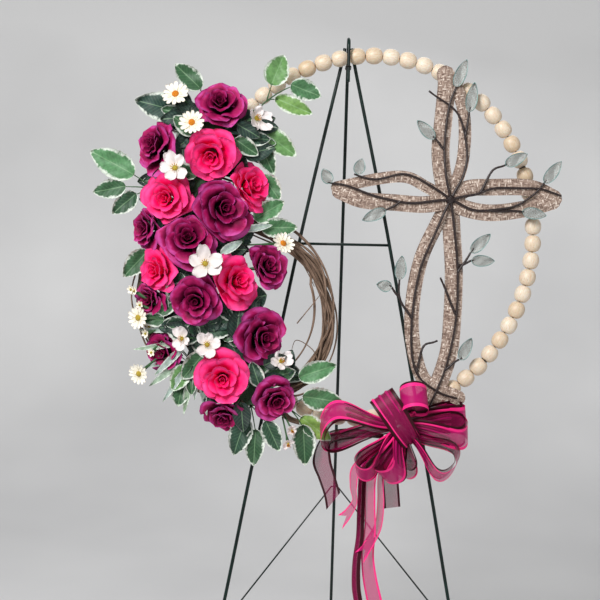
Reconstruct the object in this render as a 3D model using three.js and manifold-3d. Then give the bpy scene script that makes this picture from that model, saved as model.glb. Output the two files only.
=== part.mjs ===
import * as THREE from 'three';
import { mergeVertices } from 'three/addons/utils/BufferGeometryUtils.js';
import Module from 'manifold-3d';

const wasm = await Module();
wasm.setup();

// Driving dimensions, millimetres and radians.
// Everything lies in the plane of the wreath: u to the right and v up from the hoop's centre,
// and w forward of the front frame. The plane leans back with the easel.
const degrees = THREE.MathUtils.degToRad;
const EASEL_HEIGHT = 1200;
const LEAN = degrees(9);
const SPLAY = degrees(22);
const AXIS = -29;
const TOP = 291;
const WIRE = 2.5;
const THIN_WIRE = 1.2;
const CLEAR = 0.3;

const HOOP = { a: 245.2, b: 265.3, turn: degrees(-10.94), start: degrees(108.6) };
const BEADS = 64;
const BEAD_RADIUS = 12.2;
const BEAD_SIDES = 6;
const HOOP_DEPTH = WIRE + BEAD_RADIUS + CLEAR;

const HINGE = { depth: -10, drop: 30, eye: 4.6, pin: 2 };
const BRACE = { drop: 858, peg: 163, loop: 5, reach: 715 };

const VINE = { u: -185, v: -109, radius: 131, swell: 10, depth: 35.6, thick: 9.8 };
const FOAM = { back: 44.25, front: 64, width: 52 };
const STRIP = { back: 28, thickness: 5 };
const PETAL = 1;
const SMALLEST = 0.05;

// Solids

const at = (u, v, w = 0) => new THREE.Vector3(u, -w, v);
const down = (across, drop, w = 0) => at(AXIS + across, TOP - drop, w);

function withoutSlivers(index) {
  const kept = [];
  for (let i = 0; i < index.length; i += 3) {
    const [a, b, c] = index.slice(i, i + 3);
    if (a !== b && b !== c && c !== a) kept.push(a, b, c);
  }
  return new Uint32Array(kept);
}

function signedVolume(points, index) {
  const corner = (k) => new THREE.Vector3().fromArray(points, index[k] * 3);
  let volume = 0;
  for (let i = 0; i < index.length; i += 3) {
    volume += corner(i).dot(corner(i + 1).cross(corner(i + 2)));
  }
  return volume;
}

// A closed geometry as a solid, with its faces turned outwards.
function solid(geometry) {
  geometry.deleteAttribute('normal');
  geometry.deleteAttribute('uv');
  const merged = mergeVertices(geometry, 1e-4);
  const vertProperties = merged.attributes.position.array;
  const triVerts = withoutSlivers(merged.index.array);
  if (signedVolume(vertProperties, triVerts) < 0) triVerts.reverse();
  return new wasm.Manifold(new wasm.Mesh({ numProp: 3, vertProperties, triVerts }));
}

function largest(body) {
  return body.decompose().reduce((best, piece) => (piece.volume() > best.volume() ? piece : best));
}

function fuse(bodies) {
  return largest(wasm.Manifold.union(bodies).simplify(SMALLEST));
}

function meets(a, b) {
  const one = a.boundingBox();
  const two = b.boundingBox();
  return [0, 1, 2].every((k) => one.min[k] <= two.max[k] && two.min[k] <= one.max[k]);
}

function clearOf(body, others) {
  const near = others.filter((other) => meets(body, other));
  if (!near.length) return body;
  return largest(body.subtract(wasm.Manifold.union(near)).simplify(SMALLEST));
}

// A tube through the points, with flat ends.
function wire(points, radius, sides = 8, steps = 1) {
  const path = points.length === 2
    ? new THREE.LineCurve3(points[0], points[1])
    : new THREE.CatmullRomCurve3(points);
  const section = new THREE.Shape(polygon(sides, radius));
  return solid(new THREE.ExtrudeGeometry(section, { steps, extrudePath: path, bevelEnabled: false }));
}

function polygon(sides, radius) {
  const corner = (_, k) => {
    const angle = (k * 2 * Math.PI) / sides;
    return new THREE.Vector2(radius * Math.cos(angle), radius * Math.sin(angle));
  };
  return Array.from({ length: sides }, corner);
}

// A ring of round wire about the u direction.
function eye(centre, radius, thickness) {
  const section = polygon(6, thickness).map((point) => new THREE.Vector2(radius + point.x, point.y));
  const ring = new THREE.LatheGeometry([...section, section[0].clone()], 9);
  const outward = ring.rotateZ(Math.PI / 2).translate(centre.x, centre.y, centre.z);
  return solid(outward);
}

// A flat shape in the plane, from depth back to depth front.
function slab(outline, back, front) {
  const shape = new THREE.Shape(outline);
  const settings = { depth: front - back, bevelEnabled: false, curveSegments: 4 };
  return solid(new THREE.ExtrudeGeometry(shape, settings).translate(0, 0, back).rotateX(Math.PI / 2));
}

// The outline of a strip along a centre line, with rounded ends.
function strip(points, width, steps, roundStart = true, roundEnd = true) {
  const line = new THREE.SplineCurve(points.map(([u, v]) => new THREE.Vector2(u, v)));
  const left = [];
  const right = [];
  for (let k = 0; k <= steps; k++) {
    const here = line.getPoint(k / steps);
    const along = line.getTangent(k / steps);
    const side = new THREE.Vector2(-along.y, along.x).multiplyScalar(width / 2);
    left.push(here.clone().add(side));
    right.push(here.clone().sub(side));
  }
  if (roundEnd) left.push(line.getPoint(1).add(line.getTangent(1).multiplyScalar(width * 0.4)));
  if (roundStart) right.unshift(line.getPoint(0).sub(line.getTangent(0).multiplyScalar(width * 0.4)));
  return [...right, ...left.reverse()];
}

// A thin blade: a grid of points across and along, split alike on both faces.
function blade(across, along, pointAt, thickness) {
  const step = 0.01;
  const front = [];
  const back = [];
  for (let j = 0; j <= along; j++) {
    for (let i = 0; i <= across; i++) {
      const a = (2 * i) / across - 1;
      const b = j / along;
      const wide = pointAt(a + step, b).sub(pointAt(a - step, b));
      const long = pointAt(a, b + step).sub(pointAt(a, b - step));
      const half = wide.cross(long).normalize().multiplyScalar(thickness / 2);
      front.push(pointAt(a, b).add(half));
      back.push(pointAt(a, b).sub(half));
    }
  }
  const row = across + 1;
  const index = [];
  const quad = (a, b, c, d) => index.push(a, b, c, a, c, d);
  for (let j = 0; j < along; j++) {
    for (let i = 0; i < across; i++) {
      const corners = [i + row * j, i + 1 + row * j, i + 1 + row * (j + 1), i + row * (j + 1)];
      quad(...corners);
      const [a, b, c, d] = corners.map((corner) => corner + front.length);
      index.push(a, c, b, a, d, c);
    }
  }
  const rim = [];
  for (let i = 0; i < across; i++) rim.push(i);
  for (let j = 0; j < along; j++) rim.push(across + row * j);
  for (let i = across; i > 0; i--) rim.push(i + row * along);
  for (let j = along; j > 0; j--) rim.push(row * j);
  rim.forEach((p, k) => {
    const q = rim[(k + 1) % rim.length];
    quad(q, p, p + front.length, q + front.length);
  });
  const geometry = new THREE.BufferGeometry().setFromPoints([...front, ...back]);
  geometry.setIndex(index);
  return geometry;
}

function lathe(profile, sides) {
  return new THREE.LatheGeometry(profile.map(([r, z]) => new THREE.Vector2(r, z)), sides)
    .rotateX(Math.PI / 2);
}

// Turns and moves a flower's geometries from its own frame, facing +Z, to its place.
function placed(geometries, centre, facing, spin) {
  const turn = new THREE.Quaternion().setFromUnitVectors(new THREE.Vector3(0, 0, 1), facing);
  turn.multiply(new THREE.Quaternion().setFromAxisAngle(new THREE.Vector3(0, 0, 1), spin));
  const place = new THREE.Matrix4().compose(centre, turn, new THREE.Vector3(1, 1, 1));
  return geometries.map((geometry) => solid(geometry.applyMatrix4(place)));
}

// Faces forward, tipped by an angle towards a direction in the plane.
function tipped(direction, angle) {
  const side = degrees(direction);
  const tip = degrees(angle);
  return at(Math.cos(side) * Math.sin(tip), Math.sin(side) * Math.sin(tip), Math.cos(tip));
}

// Materials

const finish = (color, roughness, metalness = 0) => (
  new THREE.MeshStandardMaterial({ color, roughness, metalness })
);
const paintedWire = finish('#143430', 0.4, 0.2);
const beadWood = finish('#e8d5b8', 0.5);
const vineWood = finish('#5c463a', 0.85);
const foamGreen = finish('#39513a', 0.95);
const wovenStrip = finish('#a58d7c', 0.9);
const twigWire = finish('#3a2c2a', 0.6, 0.3);
const tieWire = finish('#2a2a28', 0.5, 0.6);
const organza = finish('#8e2a5e', 0.5);
const pinkSilk = finish('#f5125f', 0.7);
const plumSilk = finish('#7a1457', 0.7);
const creamSilk = finish('#efe8d6', 0.75);
const whiteSilk = finish('#f2eff0', 0.75);
const leafSilk = finish('#4c8454', 0.65);

const wreath = new THREE.Group();
wreath.rotation.x = -LEAN;
const upInPlane = new THREE.Vector3(0, -Math.sin(LEAN), Math.cos(LEAN));
const hookTop = down(0, 0, HOOP_DEPTH);
wreath.position.z = EASEL_HEIGHT - hookTop.dot(upInPlane);

function add(name, body, material) {
  const { vertProperties, triVerts } = body.getMesh();
  const geometry = new THREE.BufferGeometry();
  geometry.setAttribute('position', new THREE.BufferAttribute(vertProperties, 3));
  geometry.setIndex(new THREE.BufferAttribute(triVerts, 1));
  geometry.computeVertexNormals();
  const mesh = new THREE.Mesh(geometry, material);
  mesh.name = name;
  wreath.add(mesh);
}

// Easel: two front legs and a crossbar welded flat, a hook between their tops,
// a back leg on a hinge staple, and two brace wires that ride on pegs.

const LEG_LINE = [[4.9, 14], [11.5, 47], [66.5, 302], [130.5, 640], [170.7, 858], [243, 1230]];
const onFloor = (body) => body.trimByPlane(upInPlane.toArray(), -wreath.position.z);

function frontLeg(side, thickness = WIRE) {
  const leg = wire(LEG_LINE.map(([across, drop]) => down(side * across, drop)), thickness, 8, 10);
  return onFloor(leg);
}

function legWithPeg(side) {
  const shank = wire([down(side * 170.7, BRACE.drop), down(side * 159, BRACE.drop)], 1.4, 6);
  const head = wire([down(side * 160, BRACE.drop), down(side * 158, BRACE.drop)], 2.6, 6);
  return fuse([frontLeg(side), shank, head]);
}

const grownLegs = [-1, 1].map((side) => frontLeg(side, WIRE + CLEAR));
add('left_leg', legWithPeg(-1), paintedWire);
add('right_leg', legWithPeg(1), paintedWire);
const crossbar = wire([down(-66.5, 302), down(66.5, 302)], 2);
add('crossbar', clearOf(crossbar, grownLegs), paintedWire);

function hangingHook() {
  const turn = { drop: 18, radius: HOOP_DEPTH };
  const route = [down(0, 21, 0)];
  for (let k = 0; k <= 6; k++) {
    const angle = (k * Math.PI) / 6;
    const forward = HOOP_DEPTH - turn.radius * Math.cos(angle);
    route.push(down(0, turn.drop - turn.radius * Math.sin(angle), forward));
  }
  route.push(down(0, 45, 2 * HOOP_DEPTH), down(0, 67, 2 * HOOP_DEPTH));
  return wire(route, WIRE, 6, 11);
}
add('hanging_hook', hangingHook(), paintedWire);

function hingeStaple() {
  const reach = 10;
  const foot = -WIRE - CLEAR;
  const { depth, drop, pin } = HINGE;
  const bar = wire([down(-reach - pin, drop, depth), down(reach + pin, drop, depth)], pin);
  const arm = (side) => wire([down(side * reach, drop, depth), down(side * reach, drop, foot)], pin, 6);
  return fuse([bar, arm(-1), arm(1)]);
}
add('hinge_staple', hingeStaple(), paintedWire);

// A point on the back leg's line, by its distance from the hinge.
const backLegPoint = (distance, behind = 0) => down(
  0,
  HINGE.drop + distance * Math.cos(SPLAY) - behind * Math.sin(SPLAY),
  HINGE.depth - distance * Math.sin(SPLAY) - behind * Math.cos(SPLAY),
);

function backLeg() {
  const ring = eye(backLegPoint(0), HINGE.eye, HINGE.pin);
  return onFloor(fuse([ring, wire([backLegPoint(HINGE.eye), backLegPoint(1260)], WIRE)]));
}
add('back_leg', backLeg(), paintedWire);

const LOOP_GAP = WIRE + CLEAR + THIN_WIRE;
const loopPin = backLegPoint(BRACE.reach, LOOP_GAP);
const pegPoint = (side) => down(side * BRACE.peg, BRACE.drop);

function brace(side) {
  const start = pegPoint(side);
  const tip = loopPin.clone().setX(loopPin.x + side * BRACE.loop);
  const along = tip.clone().sub(start).normalize();
  const foot = start.clone().add(along.clone().multiplyScalar(2.9));
  const head = tip.clone().sub(along.clone().multiplyScalar(9));
  return fuse([eye(start, 3, THIN_WIRE), wire([foot, head], THIN_WIRE, 6)]);
}
add('left_brace', brace(-1), paintedWire);
add('right_brace', brace(1), paintedWire);

// A bent clip behind the back leg, open to the front, that joins the two brace wires.
function braceLoop() {
  const arm = (side) => {
    const tip = loopPin.clone().setX(loopPin.x + side * BRACE.loop);
    const along = tip.clone().sub(pegPoint(side)).normalize();
    return wire([tip.clone().sub(along.multiplyScalar(9 - CLEAR)), tip], THIN_WIRE, 6);
  };
  const reach = BRACE.loop + THIN_WIRE / 2;
  const ends = [-1, 1].map((side) => loopPin.clone().setX(loopPin.x + side * reach));
  return fuse([arm(-1), arm(1), wire(ends, THIN_WIRE, 6)]);
}
add('brace_loop', braceLoop(), paintedWire);

// A bent wire band that closes the hook below the hoop.
function hookTie() {
  const inner = WIRE + CLEAR;
  const wall = 1.6;
  const rounded = (grow) => new THREE.Shape([
    new THREE.Vector2(-inner - grow, inner + grow),
    new THREE.Vector2(-inner - grow, -2 * HOOP_DEPTH - inner - grow),
    new THREE.Vector2(inner + grow, -2 * HOOP_DEPTH - inner - grow),
    new THREE.Vector2(inner + grow, inner + grow),
  ]);
  const band = rounded(wall);
  band.holes.push(new THREE.Path(rounded(0).getPoints()));
  const settings = { depth: 3, bevelEnabled: false };
  return solid(new THREE.ExtrudeGeometry(band, settings).translate(AXIS, 0, TOP - 47));
}

// Bead hoop: turned beads strung on a hoop wire, in four quarters.

const hoopLine = new THREE.EllipseCurve(
  0, 0, HOOP.a, HOOP.b, HOOP.start, HOOP.start - 2 * Math.PI, true, HOOP.turn,
);
const QUARTERS = 4;

function beadQuarter(quarter) {
  const length = hoopLine.getLength();
  const pitch = length / BEADS;
  const count = BEADS / QUARTERS;
  const profile = [[0, CLEAR / 2]];
  for (let k = 0; k < count; k++) {
    profile.push([1.6, k * pitch + (k ? 0 : CLEAR / 2)]);
    profile.push([BEAD_RADIUS, (k + 0.3) * pitch]);
    profile.push([BEAD_RADIUS, (k + 0.7) * pitch]);
  }
  profile.push([1.6, count * pitch - CLEAR / 2], [0, count * pitch - CLEAR / 2]);
  const string = lathe(profile.reverse(), BEAD_SIDES);
  const place = string.attributes.position;
  for (let i = 0; i < place.count; i++) {
    const share = quarter / QUARTERS + Math.abs(place.getZ(i)) / length;
    const middle = hoopLine.getPointAt(share);
    const along = hoopLine.getTangentAt(share);
    const out = place.getX(i);
    const forward = place.getY(i) + HOOP_DEPTH;
    const point = at(middle.x - along.y * out, middle.y + along.x * out, forward);
    place.setXYZ(i, point.x, point.y, point.z);
  }
  return solid(string);
}
['top_right', 'bottom_right', 'bottom_left', 'top_left'].forEach((name, quarter) => {
  add(`beads_${name}`, beadQuarter(quarter), beadWood);
});
add('hook_tie', hookTie(), tieWire);

// Grapevine ring: stems wound into one bundle, with a loose stem outside it and one inside.

// A point of the bundle's skin: its section has three lobes that wind as it goes round.
function vinePoint(angle, section, grow) {
  const swell = VINE.swell * Math.cos(2 * (angle + degrees(35)));
  const lobe = VINE.thick * (0.8 + 0.2 * Math.cos(3 * section - 7 * angle)) + grow;
  const radius = VINE.radius + swell + lobe * Math.cos(section);
  return at(
    VINE.u + radius * Math.cos(angle),
    VINE.v + radius * Math.sin(angle),
    VINE.depth + lobe * Math.sin(section),
  );
}

function vineBundle(grow = 0) {
  const [around, along] = [7, 24];
  const ring = new THREE.TorusGeometry(1, 0.5, around, along);
  const skin = ring.attributes.position;
  for (let i = 0; i < skin.count; i++) {
    const section = (Math.floor(i / (along + 1)) * 2 * Math.PI) / around;
    const angle = ((i % (along + 1)) * 2 * Math.PI) / along;
    const point = vinePoint(angle % (2 * Math.PI), section % (2 * Math.PI), grow);
    skin.setXYZ(i, point.x, point.y, point.z);
  }
  return solid(ring);
}

const LOOSE_STEMS = [
  { from: 78, to: -24, radius: 141, thickness: 2.2 },
  { from: 34, to: -64, radius: 114, thickness: 2 },
];

function looseStem({ from, to, radius, thickness }) {
  const points = [];
  for (let k = 0; k <= 8; k++) {
    const angle = degrees(from + ((to - from) * k) / 8);
    const inEnd = k % 8 === 0 ? (VINE.radius + 4 - radius) : 0;
    const reach = radius + inEnd;
    points.push(at(VINE.u + reach * Math.cos(angle), VINE.v + reach * Math.sin(angle), VINE.depth + 2));
  }
  return wire(points, thickness, 4, 7);
}

const vineRing = () => fuse([vineBundle(), ...LOOSE_STEMS.map(looseStem)]);

// Roses: a cup of petals in one or two layers round a bud, on a stem that stands in the foam.

const FOAM_LINE = [[-202, 166], [-236, 80], [-247, -11], [-237, -97], [-203, -168], [-146, -228]];
const foamCurve = new THREE.SplineCurve(FOAM_LINE.map(([u, v]) => new THREE.Vector2(u, v)));

function foamPointNear(u, v) {
  const here = new THREE.Vector2(u, v);
  const spots = foamCurve.getPoints(60);
  return spots.reduce((best, spot) => (
    spot.distanceTo(here) < best.distanceTo(here) ? spot : best
  ));
}

const LAYERS = [
  { petals: 5, wide: 35, along: 1, radius: [0.14, 0.7, 1], height: [-0.3, -0.16, 0.02] },
  { petals: 3, wide: 57, along: 1, radius: [0.22, 0.5, 0.68], height: [-0.06, 0.1, 0.36] },
];
const SMALL_ROSE = 30;
const BUD = [[0, -0.6], [0.38, -0.12], [0.34, 0.42], [0, 0.5]];

// A smooth line through three values at 0, a half and 1.
function through([start, middle, end], b) {
  return start * (1 - b) * (1 - 2 * b) + middle * 4 * b * (1 - b) + end * b * (2 * b - 1);
}

function rosePetal(size, layer, turn, grow) {
  const wide = degrees(layer.wide) + (2 * grow) / size;
  const pointAt = (a, b) => {
    const reach = b * (1 - 0.16 * a * a);
    const angle = turn + a * wide * (0.75 + 0.25 * b);
    const radius = size * through(layer.radius, reach) * (1 + 0.09 * a) + 2 * grow * b;
    return new THREE.Vector3(
      radius * Math.cos(angle), radius * Math.sin(angle), size * through(layer.height, reach),
    );
  };
  return blade(2, layer.along, pointAt, PETAL + 2 * grow);
}

function roseHead(rose, grow = 0) {
  const layers = rose.size < SMALL_ROSE ? LAYERS.slice(0, 1) : LAYERS;
  const petals = layers.flatMap((layer, tier) => Array.from({ length: layer.petals }, (_, k) => (
    rosePetal(rose.size, layer, ((k + tier * 0.37) * 2 * Math.PI) / layer.petals, grow)
  )));
  const bud = lathe(BUD.map(([out, up]) => [out ? out * rose.size + grow : 0, up * rose.size]), 6);
  return wasm.Manifold.union(placed([...petals, bud], at(...rose.at), rose.facing, rose.spin));
}

function roseStem(rose, grow = 0) {
  const base = at(...rose.at);
  const foot = foamPointNear(base.x, base.z);
  const side = new THREE.Vector2(base.x, base.z).sub(foot).clampLength(0, FOAM.width / 4);
  const end = at(foot.x + side.x, foot.y + side.y, FOAM.back + 7);
  const along = end.clone().sub(base).normalize();
  return wire([base, end.add(along.multiplyScalar(2 * grow))], 1.6 + grow, 4);
}

const rose = (silk, place, size, direction, angle, spin) => (
  { silk, at: place, size, facing: tipped(direction, angle), spin }
);
const ROSES = {
  rose_top: rose(plumSilk, [-211, 181, 72], 34, 90, 28, 0),
  rose_top_outer: rose(plumSilk, [-302, 122, 62], 35, 170, 48, 1),
  rose_top_front: rose(pinkSilk, [-221, 109, 82], 39, 250, 26, 2),
  rose_shoulder_pink: rose(pinkSilk, [-284, 46, 75], 36, 180, 20, 3),
  rose_upper_plum: rose(plumSilk, [-205, 33, 92], 41, 0, 25, 4),
  rose_upper_inner: rose(pinkSilk, [-168, 66, 66], 36, 20, 48, 5),
  rose_middle: rose(plumSilk, [-252, -12, 88], 38, 90, 14, 0.5),
  rose_side_plum: rose(plumSilk, [-314, 4, 56], 28, 180, 52, 1.5),
  rose_side_pink: rose(pinkSilk, [-295, -57, 66], 33, 180, 42, 2.5),
  rose_lower_pink: rose(pinkSilk, [-184, -70, 78], 37, 10, 36, 3.5),
  rose_lower_plum: rose(plumSilk, [-238, -98, 90], 37, 225, 12, 4.5),
  rose_inner_plum: rose(plumSilk, [-142, -48, 62], 31, 20, 42, 5.5),
  rose_low_inner: rose(plumSilk, [-146, -148, 72], 38, 350, 34, 0.8),
  rose_low_pink: rose(pinkSilk, [-199, -207, 86], 36, 270, 12, 1.8),
  rose_low_right: rose(plumSilk, [-124, -236, 70], 29, 310, 30, 2.8),
  rose_bottom: rose(plumSilk, [-198, -260, 60], 28, 265, 46, 3.8),
  rose_side_low: rose(plumSilk, [-306, -98, 56], 27, 185, 42, 4.8),
  rose_side_bottom: rose(plumSilk, [-284, -172, 58], 28, 205, 38, 5.8),
};

// A head pressed between its neighbours, and cut off flat where it sits on the foam.
function trimmedHead(name, grow = 0) {
  const own = ROSES[name];
  const middle = at(...own.at);
  const foot = foamPointNear(own.at[0], own.at[1]);
  const onFoam = foot.distanceTo(new THREE.Vector2(own.at[0], own.at[1])) < FOAM.width / 2 + own.size;
  const floor = (onFoam ? FOAM.front : FOAM.back) + CLEAR - grow;
  return Object.entries(ROSES).reduce((head, [otherName, other]) => {
    const gap = at(...other.at).sub(middle);
    const distance = gap.length();
    if (otherName === name || distance > 1.05 * (own.size + other.size)) return head;
    const share = (distance ** 2 + own.size ** 2 - other.size ** 2) / (2 * distance);
    const inward = gap.normalize().negate();
    const edge = share - CLEAR / 2 + grow;
    return head.trimByPlane(inward.toArray(), inward.dot(middle) - edge);
  }, roseHead(own, grow).trimByPlane([0, -1, 0], floor));
}

const roseNames = Object.keys(ROSES);
const stemSpace = roseNames.map((name) => roseStem(ROSES[name], CLEAR));
const roseSpace = [];
roseNames.forEach((name, k) => {
  const otherStems = stemSpace.filter((_, other) => other !== k);
  const stem = clearOf(roseStem(ROSES[name]), stemSpace.slice(0, k));
  const head = clearOf(trimmedHead(name), otherStems);
  add(name, fuse([head, stem]), ROSES[name].silk);
  roseSpace.push(trimmedHead(name, CLEAR).add(stemSpace[k]));
});

// Floral foam: a curved block with a hole for each stem.
const foamBlock = slab(strip(FOAM_LINE, FOAM.width, 8), FOAM.back + CLEAR, FOAM.front);
add('grapevine_ring', vineRing(), vineWood);

// Smaller flowers and leaves: flat star outlines cupped by a formula, and waved blades.

// A star of petals, each with a narrow root, a broad middle and a rounded tip.
function flowerHead(size, petals, broad, cup, grow) {
  const outline = [];
  for (let k = 0; k < petals; k++) {
    const middle = (k * 2 * Math.PI) / petals;
    const half = Math.PI / petals;
    [[0.3, -1], [0.9, -broad], [1, 0], [0.9, broad]]
      .forEach(([reach, side]) => {
        const angle = middle + side * half;
        const out = size * reach + grow;
        outline.push(new THREE.Vector2(out * Math.cos(angle), out * Math.sin(angle)));
      });
  }
  const settings = { depth: PETAL + 2 * grow, bevelEnabled: false };
  const star = new THREE.ExtrudeGeometry(new THREE.Shape(outline), settings);
  const place = star.attributes.position;
  for (let i = 0; i < place.count; i++) {
    const out = Math.hypot(place.getX(i), place.getY(i)) / size;
    place.setZ(i, place.getZ(i) - PETAL / 2 - grow + cup * size * out * out);
  }
  return star;
}

function flower({ at: place, size, facing, spin = 0, petals, broad, cup, root }, grow = 0) {
  const eyeDisc = [[0, -2.5 - grow], [size * 0.26 + grow, 0], [size * 0.16 + grow, 3.5 + grow], [0, 4 + grow]];
  const head = placed(
    [flowerHead(size, petals, broad, cup, grow), lathe(eyeDisc, 6)], at(...place), facing, spin,
  );
  return [...head, wire([at(...place), at(...root)], 1.2 + grow, 4)];
}

const daisy = (place, size, direction, angle, root) => (
  { at: place, size, facing: tipped(direction, angle), petals: 7, broad: 0.5, cup: 0.15, root }
);
const blossom = (place, size, direction, angle, root) => (
  { at: place, size, facing: tipped(direction, angle), petals: 5, broad: 0.72, cup: 0.3, root, spin: 0.4 }
);

const SPRAYS = {
  daisies_top: {
    silk: creamSilk,
    flowers: [
      daisy([-276, 196, 70], 20, 110, 25, [-222, 158, 56]),
      daisy([-250, 153, 96], 19, 120, 15, [-222, 158, 56]),
    ],
  },
  daisy_inner: { silk: creamSilk, flowers: [daisy([-118, -14, 72], 18, 40, 40, [-222, -20, 56])] },
  daisies_left: {
    silk: creamSilk,
    flowers: [
      daisy([-322, -124, 72], 17, 190, 30, [-236, -128, 56]),
      daisy([-320, -204, 66], 16, 210, 30, [-236, -128, 56]),
    ],
  },
  blossoms_top: { silk: whiteSilk, flowers: [blossom([-272, 88, 98], 24, 130, 15, [-238, 70, 56])] },
  blossom_inner: { silk: whiteSilk, flowers: [blossom([-160, 163, 72], 22, 20, 45, [-206, 150, 56])] },
  blossoms_middle: { silk: whiteSilk, flowers: [blossom([-226, -46, 112], 24, 100, 12, [-226, -46, 60])] },
  blossoms_low: {
    silk: whiteSilk,
    flowers: [
      blossom([-222, -160, 92], 20, 90, 12, [-216, -150, 56]),
      blossom([-258, -152, 86], 17, 180, 20, [-216, -150, 56]),
    ],
  },
};

// A silk leaf with a folded rib, a waved edge and an arched tip.
function leaf([u, v, w], [tipU, tipV], width, droop, grow) {
  const length = Math.hypot(tipU - u, tipV - v);
  const along = new THREE.Vector3(tipU - u, 0, tipV - v).normalize();
  const side = new THREE.Vector3(along.z, 0, -along.x);
  const pointAt = (a, b) => {
    const half = (0.06 + Math.sin(Math.PI * Math.min(1, 0.06 + 0.9 * b)) ** 0.8) * (width / 2 + grow);
    const lift = 0.16 * width * Math.abs(a) + 0.05 * width * Math.sin(9 * b + 3 * a);
    const forward = w + lift - droop * length * b * b;
    return at(u, v).add(along.clone().multiplyScalar(length * b))
      .add(side.clone().multiplyScalar(a * half)).setY(-forward);
  };
  return solid(blade(2, 2, pointAt, PETAL + 2 * grow));
}

// A leafy stem that stands in the foam: each leaf's stalk leaves the nearest joint of the stem.
function leafSpray({ stems, leaves }, grow = 0) {
  const joints = stems.flat().map((place) => at(...place));
  const nearest = (point) => joints.reduce((best, joint) => (
    joint.distanceTo(point) < best.distanceTo(point) ? joint : best
  ));
  const stalks = leaves.map(([base, tip]) => {
    const end = at(...base).lerp(at(tip[0], tip[1], base[2]), 0.15);
    return wire([nearest(end), end], 1.2 + grow, 4);
  });
  const runs = stems.flatMap((stem, branch) => stem.slice(1).map((place, k) => {
    const [start, end] = [at(...stem[k]), at(...place)];
    const past = end.clone().sub(start).setLength(1 + 0.4 * branch);
    return wire([start.sub(past), end.add(past)], 1.9 - 0.13 * (k + 2 * branch) + grow, 4);
  }));
  return [...runs, ...stalks, ...leaves.map(([base, tip, width, droop = 0]) => (
    leaf(base, tip, width, droop, grow)
  ))];
}

const LEAVES = {
  leaves_top: {
    stems: [
      [[-204, 160, 57], [-204, 186, 57], [-236, 190, 57]],
      [[-204, 186, 57], [-166, 176, 57], [-146, 190, 58]],
    ],
    leaves: [
      [[-262, 170, 58], [-335, 188], 34, 0.1],
      [[-240, 205, 57], [-278, 240], 26],
      [[-140, 212, 58], [-123, 256], 30],
      [[-112, 214, 60], [-68, 198], 26, 0.1],
      [[-134, 194, 62], [-80, 172], 22],
      [[-152, 148, 60], [-102, 112], 28, 0.1],
      [[-160, 140, 57], [-133, 84], 24],
    ],
  },
  leaves_left: {
    stems: [[[-258, 36, 57], [-304, 62, 56]], [[-268, 42, 57], [-284, -14, 56]]],
    leaves: [
      [[-333, 80, 57], [-398, 114], 34, 0.15],
      [[-345, 64, 57], [-392, 54], 24],
      [[-330, 54, 54], [-364, 24], 24],
      [[-312, -28, 54], [-346, -66], 26],
    ],
  },
  leaves_right: {
    stems: [[[-228, 14, 57], [-184, 30, 56]]],
    leaves: [
      [[-150, 84, 52], [-124, 48], 24],
      [[-160, 20, 56], [-118, 47], 26, 0.1],
      [[-150, 8, 57], [-98, 10], 24, 0.1],
    ],
  },
  leaves_low: {
    stems: [
      [[-196, -188, 57], [-158, -196, 57], [-118, -214, 57], [-104, -250, 57]],
      [[-158, -196, 57], [-160, -246, 57]],
      [[-196, -188, 57], [-232, -206, 57]],
    ],
    leaves: [
      [[-92, -205, 56], [-38, -186], 26, 0.1],
      [[-86, -232, 57], [-27, -240], 28, 0.1],
      [[-84, -272, 58], [-80, -331], 28, 0.1],
      [[-88, -262, 54], [-44, -294], 24],
      [[-138, -268, 57], [-117, -311], 24],
      [[-152, -280, 56], [-154, -333], 24],
      [[-166, -264, 57], [-183, -318], 28],
      [[-256, -206, 56], [-264, -250], 26],
    ],
  },
};

// Builds each spray clear of what is already there, and then keeps others clear of it.
const taken = [...roseSpace];
Object.entries(SPRAYS).forEach(([name, spray]) => {
  add(name, clearOf(fuse(spray.flowers.flatMap((one) => flower(one))), taken), spray.silk);
  taken.push(wasm.Manifold.union(spray.flowers.flatMap((one) => flower(one, CLEAR))));
});
Object.entries(LEAVES).forEach(([name, spray]) => {
  add(name, clearOf(fuse(leafSpray(spray)), taken), leafSilk);
  taken.push(wasm.Manifold.union(leafSpray(spray, CLEAR)));
});
add('foam', clearOf(foamBlock, taken), foamGreen);

// Woven cross: padded strips, two to each arm, tied where they cross by a wire knot.

const CENTRE = [122, 55];
const UPRIGHT = [
  { width: 26, line: [[112, 240], [114, 222], [110, 170], [107, 125], [112, 85], CENTRE] },
  { width: 18, line: [[130, 216], [139, 186], [142, 150], [139, 110], [130, 79], CENTRE] },
  { width: 21, line: [CENTRE, [105, 22], [82, -31], [71, -95], [73, -153], [92, -208], [142, -232]] },
  { width: 26, line: [CENTRE, [126, 5], [130, -50], [129, -117], [124, -170], [104, -232]] },
];
const ARM = [
  { width: 24, line: [CENTRE, [146, 72], [182, 75], [238, 75], [274, 60]] },
  { width: 24, line: [CENTRE, [146, 43], [183, 38], [232, 45], [272, 57]] },
  { width: 17, line: [CENTRE, [88, 73], [58, 87], [18, 84], [-44, 70]] },
  { width: 24, line: [CENTRE, [86, 48], [40, 50], [-6, 53], [-40, 66]] },
];

function strips(list, back) {
  return fuse(list.map(({ width, line }) => (
    slab(strip(line, width, 7), back, back + STRIP.thickness)
  )));
}

const armBack = STRIP.back + STRIP.thickness + CLEAR;
const armFront = armBack + STRIP.thickness;
add('cross_upright', strips(UPRIGHT, STRIP.back), wovenStrip);
add('cross_arm', strips(ARM, armBack), wovenStrip);

// Twig wires lie on the strips: low on the upright, higher where they pass over the arm.
const KNOT_RADIUS = 9;
const twigDepth = (u, v) => {
  const overArm = Math.exp(-(((v - CENTRE[1]) / 70) ** 4));
  const low = STRIP.back + STRIP.thickness;
  return low + CLEAR + 1.7 + (armFront - low) * overArm;
};

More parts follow.
